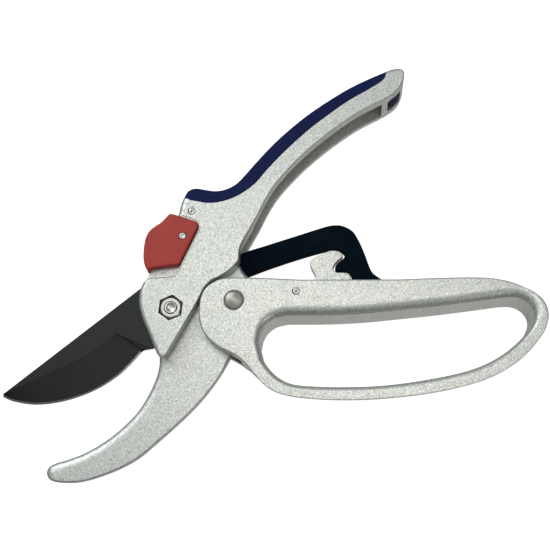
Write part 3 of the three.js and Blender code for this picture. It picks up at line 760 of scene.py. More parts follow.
def facing_scale(points, towards, least, most):
    """Sizes round an outline: most where it faces towards, least where it faces away."""
    towards = np.array(towards) / np.linalg.norm(towards)
    sizes = []
    for i in range(len(points)):
        along = points[(i + 1) % len(points)] - points[i - 1]
        outward = np.array([along[1], -along[0]]) / np.linalg.norm(along)
        share = ramped(float(outward @ towards), FACING_START, FACING_LENGTH)
        share = share * share * (3 - 2 * share)
        sizes.append(least + (most - least) * share)
    for _ in range(EVENING_ROUNDS):
        sizes = [(sizes[i - 1] + sizes[i] + sizes[(i + 1) % len(sizes)]) / 3 for i in range(len(sizes))]
    return sizes


def recess_groove():
    """The thin groove just outside the catch's recess."""
    outer = slab(grown(CATCH_RECESS_OUTLINE, 0.72), FRONT - 0.5)
    return cut(outer, slab(grown(CATCH_RECESS_OUTLINE, 0.3), 0.0, FRONT + 2 * THROUGH))


def handle_body():
    sizes = facing_scale(HANDLE_OUTLINE, LIT_SIDE, 0.2, 1.0)
    swell = facing_scale(HANDLE_OUTLINE, (-0.3, 0.95), 0.0, 1.0)
    above = [ramped(p[1], SWELL_START, SWELL_LENGTH) for p in HANDLE_OUTLINE]
    points = inset(HANDLE_OUTLINE, [-GRIP_SWELL * share * reach for share, reach in zip(swell, above)])
    return plate(points, rim(2.1, 0.0, FRONT), scale=sizes)


def upper_handle():
    body = handle_body()
    grip_space = cut(slab(GRIP_REGION), grip_hollow(GRIP_DEPTH))
    cut(body,
        grip_space,
        slab(CAVITY_OUTLINE, REAR_CHEEK_TOP, BLADE_BACK),
        slab(CHANNEL_OUTLINE, CHANNEL_FLOOR, CHANNEL_FRONT),
        plate(END_POCKET_OUTLINE, rim(2.4, CHANNEL_BACK, CHANNEL_FRONT)),
        drum(MAIN_PIVOT, 11.0, JAW_FRONT, CHEEK_BACK),
        slab(BLADE_SWEEP_OUTLINE, JAW_FRONT + 0.05, CHEEK_BACK - 0.03),
        slab(CATCH_RECESS_OUTLINE, RECESS_FRONT),
        slab(CATCH_RECESS_OUTLINE, high=RECESS_BACK),
        slab(CATCH_SIDE_OUTLINE),
        slide_slot(CATCH_PIN_PLACE, 1.8),
        drum(ANCHOR_PLACE, 1.55),
        drum(MAIN_PIVOT, 5.3, high=2.9),
        drum(MAIN_PIVOT, 2.8, high=10),
        slab(polygon(MAIN_PIVOT, 9.1, turn=NUT_TURN, corner=0.4), BLADE_FRONT),
        recess_groove())
    for place in JAW_RIVET_PLACES:
        cut(body, drum(place, 2.6, high=1.6), drum(place, 1.6, high=5.0))
    finish(body, "upper_handle_casting", "frame", SILVER, "upper_handle", soften=0.22)


def grip_insert():
    body = keep_shared(handle_body(), slab(grown(GRIP_REGION, -SEAM), -1.0, FRONT + 1.0))
    cut(body, grip_hollow(GRIP_DEPTH - SEAM))
    finish(body, "soft_grip", "frame", NAVY, "grip_insert", soften=0.12)


def end_plug():
    """The rounded end of the soft grip that fills the pocket at the handle's tip."""
    body = plate(END_PLUG_OUTLINE, rim(2.0, CHANNEL_BACK + 0.4, CHANNEL_FRONT - 0.4))
    cut(body, turned((89.6, 88.6), [(0.0, 9.6), (0.7, 9.8), (0.9, 10.5), (0.7, 11.2), (0.0, 11.4)]))
    finish(body, "grip_end", "frame", NAVY, "grip_end_plug", soften=0.1)


# ---------------------------------------------------------------- hook jaw

JAW_OUTLINE = outline(
    bend((-5.0, -18.4), (-5.2, -22.2), (-6.4, -26.9), (-9.4, -33.7), (-13.4, -39.9), (-19.4, -46.1),
         (-26.0, -51.2), (-33.2, -55.3), (-39.8, -57.8), (-44.5, -59.2), (-47.0, -60.8), (-47.6, -62.9),
         (-46.4, -64.8), (-43.4, -65.7), (-38.3, -66.0), (-33.2, -65.5), (-27.0, -63.8), (-19.3, -60.8),
         (-12.2, -56.7), (-5.6, -51.1), (1.0, -45.3), (7.2, -39.4), (12.8, -33.2), (18.3, -25.7),
         (22.4, -18.4), (27.4, -8.8), (31.7, -3.2), (33.2, 2.7), (32.8, 7.0), (31.2, 12.0), (29.0, 14.6),
         (27.4, 16.6), (26.4, 18.5), (24.4, 20.0)),
    bend((20.0, 20.2), (12.0, 19.2), (4.0, 18.0), (-3.4, 16.4), (-7.2, 12.2), (-9.6, 6.6), (-10.4, 0.0),
         (-9.6, -7.0), (-7.0, -13.6)),
)
ARM_SLOT_OUTLINE = outline(
    bend((-8.2, 0.0), (-7.1, -4.1), (-4.1, -7.1), (0.0, -8.2), (4.6, -6.8)),
    (20.0, 6.6, 3.0), (29.2, 13.4), (40.0, 20.0), (40.0, 30.0), (-12.0, 30.0), (-6.6, 10.0, 3.0),
)


def hook_jaw():
    """The hook's lower side leans out towards the front, so that from the front no wall shows there."""
    sizes = facing_scale(JAW_OUTLINE, LIT_SIDE, 0.3, 1.0)
    free = [ramped(p[1], -14.0, -10.0) for p in JAW_OUTLINE]
    below = [a * b for a, b in zip(facing_scale(JAW_OUTLINE, SHADED_SIDE, 0.0, 1.0), free)]
    points = inset(JAW_OUTLINE, [-JAW_LEAN * share for share in below])
    draft = [(JAW_LEAN + JAW_DRAFT) * share for share in below]
    body = plate(points, rim(2.0, JAW_BACK, JAW_FRONT, steps=7, spread=1.8), scale=sizes, draft=draft)
    cut(body,
        slab(ARM_SLOT_OUTLINE, JAW_REAR_WALL_TOP, JAW_WEB_BACK),
        drum(MAIN_PIVOT, 5.5, JAW_REAR_WALL_TOP, JAW_FRONT + THROUGH),
        drum(MAIN_PIVOT, 6.4, high=ARM_BACK),
        arc_slot(MAIN_PIVOT, 7.4, -151.6, -111.2, 1.9, 0.0, ARM_BACK),
        drum(HANDLE_PIVOT, 3.3, high=FRONT),
        arc_slot(HANDLE_PIVOT, RETURN_COIL, RETURN_FOOT, RETURN_FOOT + SQUEEZE, 0.9, JAW_FRONT - 3.0,
                 JAW_FRONT + THROUGH))
    for place in JAW_RIVET_PLACES:
        cut(body, drum(place, 1.7, 0.0, 6.85))
    finish(body, "hook_jaw_casting", "frame", SILVER, "hook_jaw", soften=0.15)


# ---------------------------------------------------------------- blade

BLADE_EDGE = [
    (-65.9, -33.5), (-64.2, -34.4), (-60.7, -35.6), (-53.4, -36.7), (-45.0, -36.1), (-36.5, -34.0),
    (-28.2, -30.5), (-20.8, -25.7), (-15.9, -21.1), (-11.9, -16.5),
]
BLADE_OUTLINE = outline(
    bend(*BLADE_EDGE),
    bend((-11.2, -15.9), (-10.2, -15.6), (-7.5, -15.2)),
    bend((-3.4, -13.8), (1.0, -11.2), (4.4, -6.8), (6.9, -2.6), (8.3, 1.0), (8.3, 4.4), (6.8, 7.4),
         (4.0, 9.2), (0.0, 10.2), (-5.0, 10.6), (-9.6, 10.2), (-12.9, 8.4)),
)
GRIND_LINE = [
    (-65.2, -33.1), (-62.0, -31.4), (-56.0, -28.6), (-49.0, -25.4), (-43.0, -22.6), (-37.0, -19.8),
    (-31.0, -16.4), (-25.8, -12.6), (-22.6, -9.9), (-21.4, -9.6),
]
PLUNGE_LINE = [(-21.7, -9.5), (-15.4, -12.4), (-8.6, -15.5)]
EDGE_FALL = 2.3  # how far the edge lies below the blade's front
EDGE_HEIGHT = BLADE_FRONT - EDGE_FALL
GRIND_WIDTH = 14.0
GRIND_PAST_EDGE = 1.4
GROOVE_HALF = 0.16
HONE_REACH = 2.4
HONE_RISE = 0.4
HONE_FACING = (0.3, 0.96)  # least and most upward part of a honed face's normal
SQUARE_HOLE = polygon(MAIN_PIVOT, 7.3, sides=4, turn=math.pi / 4)


def along(points, share):
    """The point a share of the way along a polyline."""
    lengths = [float(np.linalg.norm(b - a)) for a, b in zip(points, points[1:])]
    left = share * sum(lengths)
    for a, b, length in zip(points, points[1:], lengths):
        if left <= length:
            return a + (b - a) * left / length
        left -= length
    return points[-1]


def wedge(inner, outer, inner_height, outer_height, steps=60):
    """A cutter whose underside slopes from an inner line down to an outer one."""
    top = FRONT + 2.0
    rings = []
    for i in range(steps + 1):
        a, b = along(inner, i / steps), along(outer, i / steps)
        rings.append([(*a, inner_height), (*b, outer_height), (*b, top), (*a, top)])
    return tube(rings)


def cutting_blade():
    body = plate(BLADE_OUTLINE, rim(0.15, BLADE_BACK, BLADE_FRONT, steps=2))
    edge = spline(BLADE_EDGE)
    outer = beside(edge[:-1] + [np.array([-9.0, -15.4])], GRIND_PAST_EDGE)
    outer_height = EDGE_HEIGHT - GRIND_PAST_EDGE * (BLADE_FRONT - EDGE_HEIGHT) / GRIND_WIDTH
    groove = ribbon(spline(PLUNGE_LINE), GROOVE_HALF, -GROOVE_HALF)
    cut(body,
        slab(SQUARE_HOLE, 0.0, FRONT),
        wedge(spline(GRIND_LINE), outer, BLADE_FRONT + 0.001, outer_height),
        slab(groove, BLADE_FRONT - 0.9, FRONT),
        wedge(beside(edge, -0.75), beside(edge, 0.6), EDGE_HEIGHT + 0.2, BLADE_BACK + 0.1))
    finish(body, "coated_blade", "blade_lever", BLADE, "cutting_blade", sharp_degrees=4.0)
    body.data.materials.append(EDGE)
    least, most = HONE_FACING
    for face in body.data.polygons:
        middle = np.array([face.center.x, face.center.y]) / MM
        near = min(float(np.linalg.norm(p - middle)) for p in edge[::2])
        highest = max(body.data.vertices[v].co.z for v in face.vertices) / MM
        if least < face.normal.z < most and near < HONE_REACH and highest < EDGE_HEIGHT + HONE_RISE:
            face.material_index = 1


# ---------------------------------------------------------------- ratchet arm and pawl

ARM_OUTLINE = outline(
    bend((-4.3, 5.9), (-6.9, 2.4), (-7.3, 0.0), (-6.9, -2.4), (-5.2, -5.2), (-2.4, -6.9), (0.4, -7.3),
         (3.8, -6.3)),
    (20.5, 8.2, 6.0),
    bend((29.2, 14.9), (36.2, 17.6), (48.1, 21.6), (58.9, 24.7), (63.0, 25.3), (65.4, 25.1), (67.3, 24.2),
         (68.1, 22.7), (67.5, 21.4), (65.7, 19.9), (64.5, 18.6), (64.1, 17.4), (64.7, 16.4), (68.8, 16.1),
         (70.1, 15.2), (70.8, 13.5), (71.2, 11.2)),
    (72.0, 8.6, 1.0),
    (84.6, 10.0, 1.0),
    bend((83.6, 11.9), (81.5, 13.3), (79.9, 14.5), (78.8, 15.6), (78.0, 17.2), (77.2, 19.5), (76.1, 22.8),
         (74.6, 26.8), (72.3, 31.4), (70.3, 33.5), (67.5, 34.9), (65.0, 35.3), (62.3, 35.1), (58.2, 34.0),
         (48.1, 30.8), (36.0, 27.0), (28.4, 24.6), (22.0, 21.6)),
    (10.3, 14.5), (11.4, 23.1, 0.4), (9.7, 23.8, 0.4), (5.5, 10.9),
)
PAWL_OUTLINE = outline(
    bend((55.8, 12.6), (56.3, 13.8), (55.8, 15.4), (54.7, 17.6), (54.2, 19.3), (54.5, 20.6), (55.9, 21.8),
         (58.1, 22.9), (60.2, 23.9), (62.4, 24.7), (65.0, 24.6), (66.5, 23.9), (67.3, 22.9), (66.9, 21.8),
         (65.5, 20.6), (64.1, 19.2), (63.5, 17.9), (63.4, 16.6), (64.6, 15.8), (68.6, 15.5), (69.8, 14.8),
         (70.3, 13.2)),
    (70.2, 11.0, 1.5),
    (60.0, 8.4, 6.0),
    bend((53.2, 4.6), (51.6, 2.8), (49.4, 1.9), (47.0, 2.2), (45.2, 3.8), (44.7, 6.0), (45.2, 8.2),
         (47.0, 9.9), (50.0, 10.9)),
)


def ratchet_arm():
    body = plate(ARM_OUTLINE, rim(0.3, ARM_BACK, ARM_FRONT, steps=3))
    cut(body, slab(SQUARE_HOLE, 0.0, FRONT), drum((5.5, 0.0), 0.85, 0.0, 9.6))
    finish(body, "ratchet_arm_stamping", "blade_lever", ARM, "ratchet_arm")


def ratchet_pawl():
    body = plate(PAWL_OUTLINE, rim(0.35, ARM_BACK, ARM_FRONT, steps=3))
    cut(body, drum(PAWL_PIVOT, 1.8, 0.0, FRONT))
    finish(body, "stepped_pawl", "pawl", SILVER, "ratchet_pawl")


# ---------------------------------------------------------------- loop handle

LOOP_OUTLINE = outline(
    bend((15.0, 9.4), (13.2, 7.6), (11.5, 4.0), (11.0, -1.0), (11.3, -5.2), (12.8, -9.4), (15.6, -13.0),
         (19.3, -15.8), (23.4, -17.9), (26.8, -20.0), (29.6, -22.6), (33.1, -27.0), (36.8, -31.0),
         (40.8, -33.5), (46.5, -35.2), (54.1, -36.2), (64.0, -36.8), (74.0, -36.8), (84.4, -36.2),
         (95.7, -35.0), (107.0, -33.1), (118.4, -30.1), (126.1, -26.9), (132.0, -23.3), (137.0, -19.2),
         (141.1, -14.5), (143.6, -11.2), (145.0, -8.0), (145.7, -4.4), (145.2, -1.0), (143.6, 2.0),
         (140.4, 4.9), (136.4, 7.0), (130.8, 9.2), (124.0, 10.5), (116.0, 10.9), (104.6, 10.8), (89.2, 10.4)),
    bend((50.4, 10.8), (36.7, 11.6), (27.0, 11.9), (21.0, 11.8), (17.8, 11.0)),
)
FINGER_HOLE_OUTLINE = outline(
    bend((34.4, -14.0), (35.3, -9.8), (37.3, -6.6), (40.5, -4.3), (45.0, -3.2)),
    bend((56.0, -3.3), (66.0, -3.2), (76.0, -2.7), (88.4, -1.6), (102.0, -0.3), (115.0, 1.2), (123.7, 2.3),
         (129.4, 3.0), (134.0, 2.9), (137.6, 1.2), (139.6, -1.4), (140.2, -4.4), (139.1, -7.8),
         (136.6, -11.4), (132.4, -15.6), (126.8, -19.8), (120.6, -23.1), (113.6, -25.6), (103.4, -27.9),
         (90.0, -30.0), (78.0, -31.1), (66.0, -31.3), (56.0, -31.0), (48.0, -30.2), (43.0, -28.2),
         (39.0, -24.8), (36.0, -20.6)),
)
JAW_SLOT_OUTLINE = outline(
    (0.0, -30.0), (27.2, -23.0), (27.2, -18.0),
    bend((28.6, -8.0), (32.5, -5.1), (35.2, -1.2), (36.4, 3.0), (36.6, 8.0)),
    (36.6, 20.0), (0.0, 20.0),
)
PAWL_CHANNEL_OUTLINE = outline(
    (30.0, 20.0), (30.0, 6.6, 2.0), (38.4, 0.8, 3.0), (74.0, 0.2, 8.0), (100.0, 1.8, 3.0), (100.0, 20.0),
)


def lip_rows():
    """The finger hole's edge: the front face falls in a broad round lip to a crease, then the bore's wall."""
    width, fall, crease, rear = 4.0, 2.3, 0.35, 1.4
    rows = [(rear * a, rear * b) for a, b in quarter(RIM_STEPS)]
    rows += [(crease * 0.4, FRONT / 2), (crease * 0.2, FRONT - fall - crease)]
    return rows + [(crease + (width - crease) * b, FRONT - fall * a) for a, b in quarter(RIM_STEPS + 2)]


def loop_handle():
    """The bar draws in towards the rear cheek, so that from the front only its rounded face shows."""
    outer_sizes = facing_scale(LOOP_OUTLINE, (-0.1, -1.0), 0.55, 0.3)
    below = facing_scale(LOOP_OUTLINE, (0.15, -1.0), 0.0, 1.0)
    far = [ramped(p[0], 28.0, 10.0) for p in LOOP_OUTLINE]
    draft = [LOOP_DRAFT * share * reach for share, reach in zip(below, far)]
    hole_sizes = facing_scale(FINGER_HOLE_OUTLINE, (0.15, 1.0), 0.52, 1.0)
    body = plate(LOOP_OUTLINE, rim(1.5, 0.0, FRONT), scale=outer_sizes, draft=draft,
                 holes=[(FINGER_HOLE_OUTLINE, lip_rows(), hole_sizes)])
    spring_room = cut(drum(HANDLE_PIVOT, 7.7, 13.0, 19.0), drum(HANDLE_PIVOT, 5.0, 12.0, FRONT))
    head, floor, above = RIVET_HEAD + 0.1, FRONT - 1.3, FRONT + 2.0
    dish = [(0.0, floor), (head, floor), (head, FRONT - 0.3), (4.5, FRONT + 0.02), (4.5, above), (0.0, above)]
    cut(body,
        slab(JAW_SLOT_OUTLINE, REAR_CHEEK_TOP, BLADE_BACK),
        slab(PAWL_CHANNEL_OUTLINE, 5.0, 16.0),
        spring_room,
        drum(around(HANDLE_PIVOT, 8.6, math.radians(290)), 2.4, 16.6, 19.0),
        drum(HANDLE_PIVOT, 4.7, 13.0, 15.7),
        drum(HANDLE_PIVOT, 3.3),
        turned(HANDLE_PIVOT, dish),
        drum(HANDLE_PIVOT, 4.8, high=1.9),
        drum(PAWL_PIVOT, 1.56))
    finish(body, "loop_handle_casting", "loop_lever", SILVER, "loop_handle", soften=0.2)


def handle_bumper():
    points = outline((23.6, -17.2, 0.3), (26.9, -16.6, 0.4), (26.9, -19.6, 0.4), (25.0, -18.5, 0.5))
    body = plate(points, rim(0.3, 4.8, 13.9, steps=2))
    finish(body, "stop_bumper", "loop_lever", RUBBER, "handle_bumper")


# ---------------------------------------------------------------- catch

CATCH_OUTLINE = outline(
    bend((-1.6, 37.4), (-0.6, 37.9), (2.3, 37.1), (5.7, 36.0), (8.6, 34.9)),
    bend((9.9, 34.0), (10.3, 33.0), (10.0, 31.7)),
    (3.2, 17.0, 1.2),
    bend((-7.3, 15.7), (-8.4, 15.2), (-9.3, 14.5)),
    bend((-9.8, 15.4), (-10.7, 17.7), (-11.1, 21.1), (-10.9, 25.1), (-10.3, 28.3), (-9.1, 30.7),
         (-7.1, 32.6), (-4.5, 34.3), (-2.6, 36.3)),
)
CATCH_FRONT = 22.4
CASTING_SLOT = outline((-8.85, 15.4), (1.85, 38.4), (8.0, 50.0), (40.0, 50.0), (40.0, 0.0), (-17.25, -3.0))
LEAF_MIDDLE = (-5.0, 26.4)


def along_slide(piece):
    """Turns a piece drawn along +X so that it lies along the slide at the leaf spring's place."""
    angle = math.atan2(-CATCH_SLIDE[1], -CATCH_SLIDE[0])
    place = Matrix.Translation((LEAF_MIDDLE[0] * MM, LEAF_MIDDLE[1] * MM, 0.0))
    piece.data.transform(place @ Matrix.Rotation(angle, 4, "Z"))
    return piece


def safety_catch():
    body = plate(CATCH_OUTLINE, rim(0.7, 0.0, CATCH_FRONT, steps=4, back_radius=0.4))
    cut(body,
        slab(CASTING_SLOT, RECESS_BACK - GAP, RECESS_FRONT + GAP),
        drum(CATCH_PIN_PLACE, CATCH_PIN_RADIUS + 0.15),
        along_slide(slab(outline((-5.8, -2.6), (5.8, -2.6), (5.8, 2.2), (-5.8, 2.2)), 7.0, 14.0)))
    finish(body, "red_safety_catch", "catch", RED, "safety_catch", soften=0.15)


def catch_pin():
    top, edge, radius = 22.45, 0.3, CATCH_PIN_RADIUS
    profile = [(0.0, 0.3), (radius - 0.2, 0.3), (radius, 0.5), (radius, top - edge)]
    profile += arc((radius - edge, top - edge), edge, 0, 90, 4)[1:]
    profile += [(0.8, top), (0.5, top - 0.2), (0.0, top - 0.25)]
    finish(turned(CATCH_PIN_PLACE, profile), "catch_cross_pin", "catch", PIN_STEEL, "catch_pin")


# ---------------------------------------------------------------- fasteners

def rolled_pin(name, place, body_name):
    """A spring pin coiled from strip, seen end on as a spiral."""
    inner, outer, strip, turns, steps = 0.12, 1.5, 0.36, 2.3, 90
    middle = []
    for i in range(steps + 1):
        share = i / steps
        radius = inner + strip / 2 + (outer - strip - inner) * share
        middle.append(around(place, radius, 0.6 + 2 * math.pi * turns * share))
    body = plate(ribbon(middle, strip / 2, -strip / 2), rim(0.06, 0.4, FRONT - 0.12, steps=2))
    finish(body, name + "_coil", body_name, PIN_STEEL, name)


def handle_rivet():
    """A domed head sunk in a dished ring, with a flat machined foot on the rear."""
    profile = [(0.0, 0.1), (4.1, 0.1), (4.5, 0.5), (4.5, 1.6), (3.0, 1.6), (3.0, 19.8), (RIVET_HEAD, 19.8)]
    profile += arc((RIVET_HEAD - 0.7, 20.35), 0.7, 0, 62, 6)
    profile += [(2.6, 21.16), (1.9, 21.36), (1.0, 21.53), (0.4, 21.58), (0.0, 21.6)]
    body = turned(HANDLE_PIVOT, profile, steps=96)
    finish(body, "domed_rivet", "frame", STAINLESS, "handle_rivet")


def pivot_nut():
    """A hexagon nut with its front corners chamfered."""
    low, high = 18.4, NUT_TOP
    body = slab(polygon(MAIN_PIVOT, 8.0, turn=NUT_TURN, corner=0.15), low, high)
    chamfer = [(0.0, low - 1.0), (6.0, low - 1.0), (6.0, high - 1.7), (3.7, high), (0.0, high + 0.001)]
    keep_shared(body, turned(MAIN_PIVOT, chamfer))
    cut(body, drum(MAIN_PIVOT, 2.62, 0.0))
    finish(body, "hexagon_nut", "frame", ZINC, "pivot_nut", soften=0.08, sharp_degrees=20.0)


def pivot_bolt():
    """A bolt with a hexagon socket in its head at the rear and a threaded, dished end in the nut."""
    top, thread, root, pitch = NUT_TOP + 0.4, 2.5, 2.24, 0.8
    profile = [(0.0, 0.0), (4.5, 0.0), (5.0, 0.5), (5.0, 2.6), (thread, 2.6)]
    height = 18.0
    while height + pitch < top - 0.3:
        profile += [(thread, height), (root, height + pitch / 2)]
        height += pitch
    profile += [(thread, height), (thread, top - 0.25), (2.2, top), (1.75, top), (1.5, top - 0.14),
                (1.1, top - 0.34), (0.0, top - 0.4)]
    body = turned(MAIN_PIVOT, profile, steps=80)
    cut(body, slab(polygon(MAIN_PIVOT, 4.2, turn=0.3), -1.0, 1.5))
    finish(body, "pivot_bolt_turned", "frame", ZINC, "pivot_bolt")


def jaw_rivets():
    for i, place in enumerate(JAW_RIVET_PLACES):
        dome = [(1.5 * radius, height) for radius, height in arc((0.0, 1.7), 1.6, -90, -20, 6)[1:]]
        body = turned(place, [(0.0, 0.1)] + dome + [(1.4, 1.9), (1.4, 6.6), (0.0, 6.6)], steps=48)
        finish(body, f"rear_rivet_{i + 1}", "frame", PIN_STEEL, f"jaw_rivet_{i + 1}")


# ---------------------------------------------------------------- springs, washers, spacers and hub

def coil(centre, radius, first, turns, low, high):
    """Points of a coil about a vertical axis, starting at an angle in degrees."""
    steps = round(turns * COIL_STEPS)
    points = arc(centre, radius, first, first + 360 * turns, steps)
    return [(*p, low + (high - low) * i / steps) for i, p in enumerate(points)]


def wire(name, points, radius, body_name, node):
    """A round wire through points, with domed ends."""
    points = [Vector(p) for p in points]
    last = len(points) - 1
    side = (points[1] - points[0]).orthogonal()
    rings = []
    for i, at in enumerate(points):
        ahead = (points[min(i + 1, last)] - points[max(i - 1, 0)]).normalized()
        side = (side - ahead * side.dot(ahead)).normalized()
        across = ahead.cross(side)
        sizes = [(0.0, radius)]
        if i == 0:
            sizes.insert(0, (-0.5 * radius, 0.6 * radius))
        if i == last:
            sizes.append((0.5 * radius, 0.6 * radius))
        for shift, size in sizes:
            ring = circle((0.0, 0.0), size, WIRE_SIDES)
            rings.append([at + ahead * shift + side * x + across * y for x, y in ring])
    finish(tube(rings), name, body_name, SPRING, node, sharp_degrees=60.0)


def return_spring():
    """The spring round the rivet that opens the handles, with its foot in the hook's slot."""
    turns, low, high = 2.25, 15.4, 18.1
    winding = coil(HANDLE_PIVOT, RETURN_COIL, RETURN_FOOT, turns, low, high)
    foot = winding[0][:2]
    tip = around(HANDLE_PIVOT, 9.8, math.radians(RETURN_FOOT + 360 * turns))
    route = [(*foot, JAW_FRONT - 2.0), (*foot, low - 0.5)] + winding[1:] + [(*tip, high)]
    wire("return_coil", route, 0.6, "loop_lever", "return_spring")


def arm_spring():
    """The light spring on the main pivot that lifts the ratchet arm."""
    first, low, high = -144.0, 5.2, 6.3
    foot = around(MAIN_PIVOT, 8.2, math.radians(first))
    route = [(*foot, low)] + coil(MAIN_PIVOT, 5.2, first, 1.4, low, high) + [(5.4, 0.0, 6.9), (5.5, 0.0, 9.4)]
    wire("arm_coil", route, 0.42, "blade_lever", "arm_spring")


def pawl_spring():
    x, y = PAWL_PIVOT
    radius, low, high = 2.4, 12.3, 13.6
    winding = coil(PAWL_PIVOT, radius, 0.0, 1.75, low, high)
    route = [(x + radius, y - 3.6, low)] + winding + [(x + 4.6, y - radius, high)]
    wire("pawl_coil", route, 0.32, "loop_lever", "pawl_spring")


def collar(place, outer, bore, low, high, chamfer):
    """A turned ring with eased edges."""
    profile = [(bore + chamfer, low), (outer - chamfer, low), (outer, low + chamfer), (outer, high - chamfer),
               (outer - chamfer, high), (bore + chamfer, high), (bore, high - chamfer), (bore, low + chamfer)]
    bm = bmesh.new()
    skin(bm, [raised(circle(place, radius), height) for radius, height in profile], closed=True)
    return new_object(bm)


def collars():
    body = collar(MAIN_PIVOT, 3.8, 2.8, CHEEK_BACK, CHEEK_BACK + 0.8, 0.12)
    finish(body, "nut_washer", "frame", ZINC, "blade_washer")
    body = collar(HANDLE_PIVOT, 4.4, 3.3, BLADE_BACK, BLADE_BACK + 0.6, 0.1)
    finish(body, "cheek_washer", "frame", ZINC, "rivet_washer")
    for name, low, high in (("rear", 5.0 + GAP, ARM_BACK - GAP), ("front", 13.8 + GAP, 16.0 - GAP)):
        body = collar(PAWL_PIVOT, 3.2, 1.8, low, high, 0.2)
        finish(body, f"{name}_pawl_collar", "loop_lever", NYLON, f"pawl_spacer_{name}")


def drive_hub():
    """Squared ends that key the arm and the blade, round a journal that turns in the jaw's web."""
    square = polygon(MAIN_PIVOT, 7.0, sides=4, turn=math.pi / 4, corner=0.3)
    body = slab(square, ARM_BACK, JAW_WEB_BACK)
    join(body,
         drum(MAIN_PIVOT, 5.2, JAW_WEB_BACK - GAP / 2, JAW_FRONT + GAP / 2),
         slab(square, JAW_FRONT, BLADE_FRONT))
    cut(body, drum(MAIN_PIVOT, 2.8))
    finish(body, "squared_hub", "blade_lever", PIN_STEEL, "drive_hub", soften=0.12)


def leaf_spring():
    """The bowed leaf that holds the catch at either end of its travel."""
    half, thickness = 5.5, 0.5
    outer = [(-half, 1.6), (-half / 2, 1.5), (0.0, 0.7), (half / 2, 1.5), (half, 1.6)]
    inner = [(x, y - thickness) for x, y in outer[::-1]]
    body = along_slide(plate(outline(bend(*outer), bend(*inner)), rim(0.1, 7.3, 13.7, steps=2)))
    finish(body, "catch_leaf", "catch", SPRING, "detent_spring")


# ---------------------------------------------------------------- stage, light and camera

OVERHEAD = (0.80, 0.83, 0.85)
BELOW = (0.80, 0.79, 0.76)
TENT_AXIS = (-0.22, 0.30, 0.93)
TENT_GREYS = ((0.2, 0.5), (0.4, 0.05), (0.58, 0.06), (0.7, 0.2))  # between BELOW and OVERHEAD
TENT_STRENGTH = 0.74
BACKDROP_REACH = 2.1
FLOOR_REACH = 2.2
FLOOR_DROP = 0.0008
LIGHT_AIM = (0.04, 0.01, 0.0)
CAMERA_AIM = (40.7, 12.5, FRONT)
CAMERA_OFFSET = (23.0, -115.1, 444.6)
LENS = 77.2
SENSOR = 36.0


def pale_surface():
    material = bpy.data.materials.new("pale_floor")
    material.use_nodes = True
    shader = material.node_tree.nodes["Principled BSDF"]
    shader.inputs["Base Color"].default_value = (0.5, 0.5, 0.5, 1.0)
    shader.inputs["Roughness"].default_value = 0.9
    shader.inputs["Emission Color"].default_value = (1.0, 1.0, 1.0, 1.0)
    shader.inputs["Emission Strength"].default_value = 0.93
    return material


def scenery(bm, name, material):
    """A surface of the surroundings that the camera sees, and that lights nothing."""
    surface = new_object(bm, name)
    surface.data.materials.append(material)
    surface.visible_diffuse = False
    surface.visible_glossy = False
    return surface


def studio():
    """A pale floor with a pale wall all round, and the lights."""
    material = pale_surface()
    bm = bmesh.new()
    bmesh.ops.create_grid(bm, x_segments=8, y_segments=8, size=FLOOR_REACH)
    scenery(bm, "floor", material).location.z = -FLOOR_DROP
    bm = bmesh.new()
    bmesh.ops.create_cone(bm, cap_ends=False, segments=96, radius1=BACKDROP_REACH, radius2=BACKDROP_REACH,
                          depth=2 * BACKDROP_REACH)
    scenery(bm, "backdrop", material).visible_shadow = False
    overhead_tent()
    softbox("key", (-0.27, 0.36, 0.42), 0.32, 1.2, (0.93, 0.97, 1.0))
    softbox("fill", (0.075, 0.08, 0.52), 0.32, 0.38, (1.0, 0.96, 0.88), 0.16)
    softbox("edge_light", (0.36, -0.34, 0.28), 0.12, 0.22, (1.0, 0.99, 0.96))


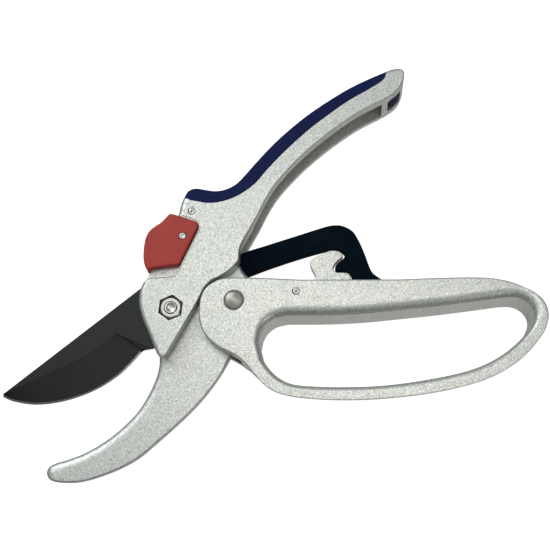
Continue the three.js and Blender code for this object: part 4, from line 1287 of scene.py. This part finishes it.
def overhead_tent():
    """A soft light from above and behind the tool, dark towards the horizon."""
    world = bpy.data.worlds.new("studio")
    bpy.context.scene.world = world
    world.use_nodes = True
    tree = world.node_tree
    direction = tree.nodes.new("ShaderNodeTexCoord").outputs["Generated"]
    height = tree.nodes.new("ShaderNodeVectorMath")
    height.operation = "DOT_PRODUCT"
    tree.links.new(direction, height.inputs[0])
    height.inputs[1].default_value = TENT_AXIS
    glow = tree.nodes.new("ShaderNodeValToRGB")
    stops = glow.color_ramp.elements
    stops[0].position, stops[0].color = 0.0, (*BELOW, 1.0)
    stops[1].position, stops[1].color = 0.98, (*OVERHEAD, 1.0)
    for position, grey in TENT_GREYS:
        stop = stops.new(position)
        stop.color = (grey, grey, grey * 1.02, 1.0)
    share = tree.nodes.new("ShaderNodeMapRange")
    share.inputs["From Min"].default_value = -1.0
    tree.links.new(height.outputs["Value"], share.inputs["Value"])
    tree.links.new(share.outputs["Result"], glow.inputs["Fac"])
    background = tree.nodes["Background"]
    tree.links.new(glow.outputs["Color"], background.inputs["Color"])
    background.inputs["Strength"].default_value = TENT_STRENGTH


def softbox(name, place, size, power, colour, depth=None):
    lamp = bpy.data.lights.new(name, "AREA")
    lamp.color = colour
    lamp.shape = "RECTANGLE"
    lamp.size = size
    lamp.size_y = depth or size
    lamp.energy = power
    stand = bpy.data.objects.new(name, lamp)
    stand.location = place
    aim = Vector(LIGHT_AIM) - Vector(place)
    stand.rotation_mode = "QUATERNION"
    stand.rotation_quaternion = aim.to_track_quat("-Z", "Y")
    bpy.context.scene.collection.objects.link(stand)


def camera():
    """A level view from above, a little towards the user's side of the tool."""
    aim = Vector(CAMERA_AIM) * MM
    eye = aim + Vector(CAMERA_OFFSET) * MM
    back = (eye - aim).normalized()
    right = Vector((0.0, 1.0, 0.0)).cross(back).normalized()
    up = back.cross(right)
    data = bpy.data.cameras.new("camera")
    data.sensor_width = SENSOR
    data.lens = LENS
    data.clip_start = 0.01
    data.clip_end = 10.0
    view = bpy.data.objects.new("camera", data)
    turn = Matrix((right, up, back)).transposed().to_4x4()
    view.matrix_world = Matrix.Translation(eye) @ turn
    bpy.context.scene.collection.objects.link(view)
    bpy.context.scene.camera = view


def colours():
    view = bpy.context.scene.view_settings
    view.view_transform = "Standard"
    view.look = "None"
    view.exposure = 0.0
    view.gamma = 1.0


colours()
camera()
studio()
upper_handle()
grip_insert()
end_plug()
hook_jaw()
cutting_blade()
ratchet_arm()
ratchet_pawl()
loop_handle()
handle_bumper()
safety_catch()
catch_pin()
rolled_pin("anchor_pin", ANCHOR_PLACE, "frame")
rolled_pin("pawl_pin", PAWL_PIVOT, "loop_lever")
handle_rivet()
pivot_nut()
pivot_bolt()
jaw_rivets()
return_spring()
arm_spring()
pawl_spring()
collars()
drive_hub()
leaf_spring()
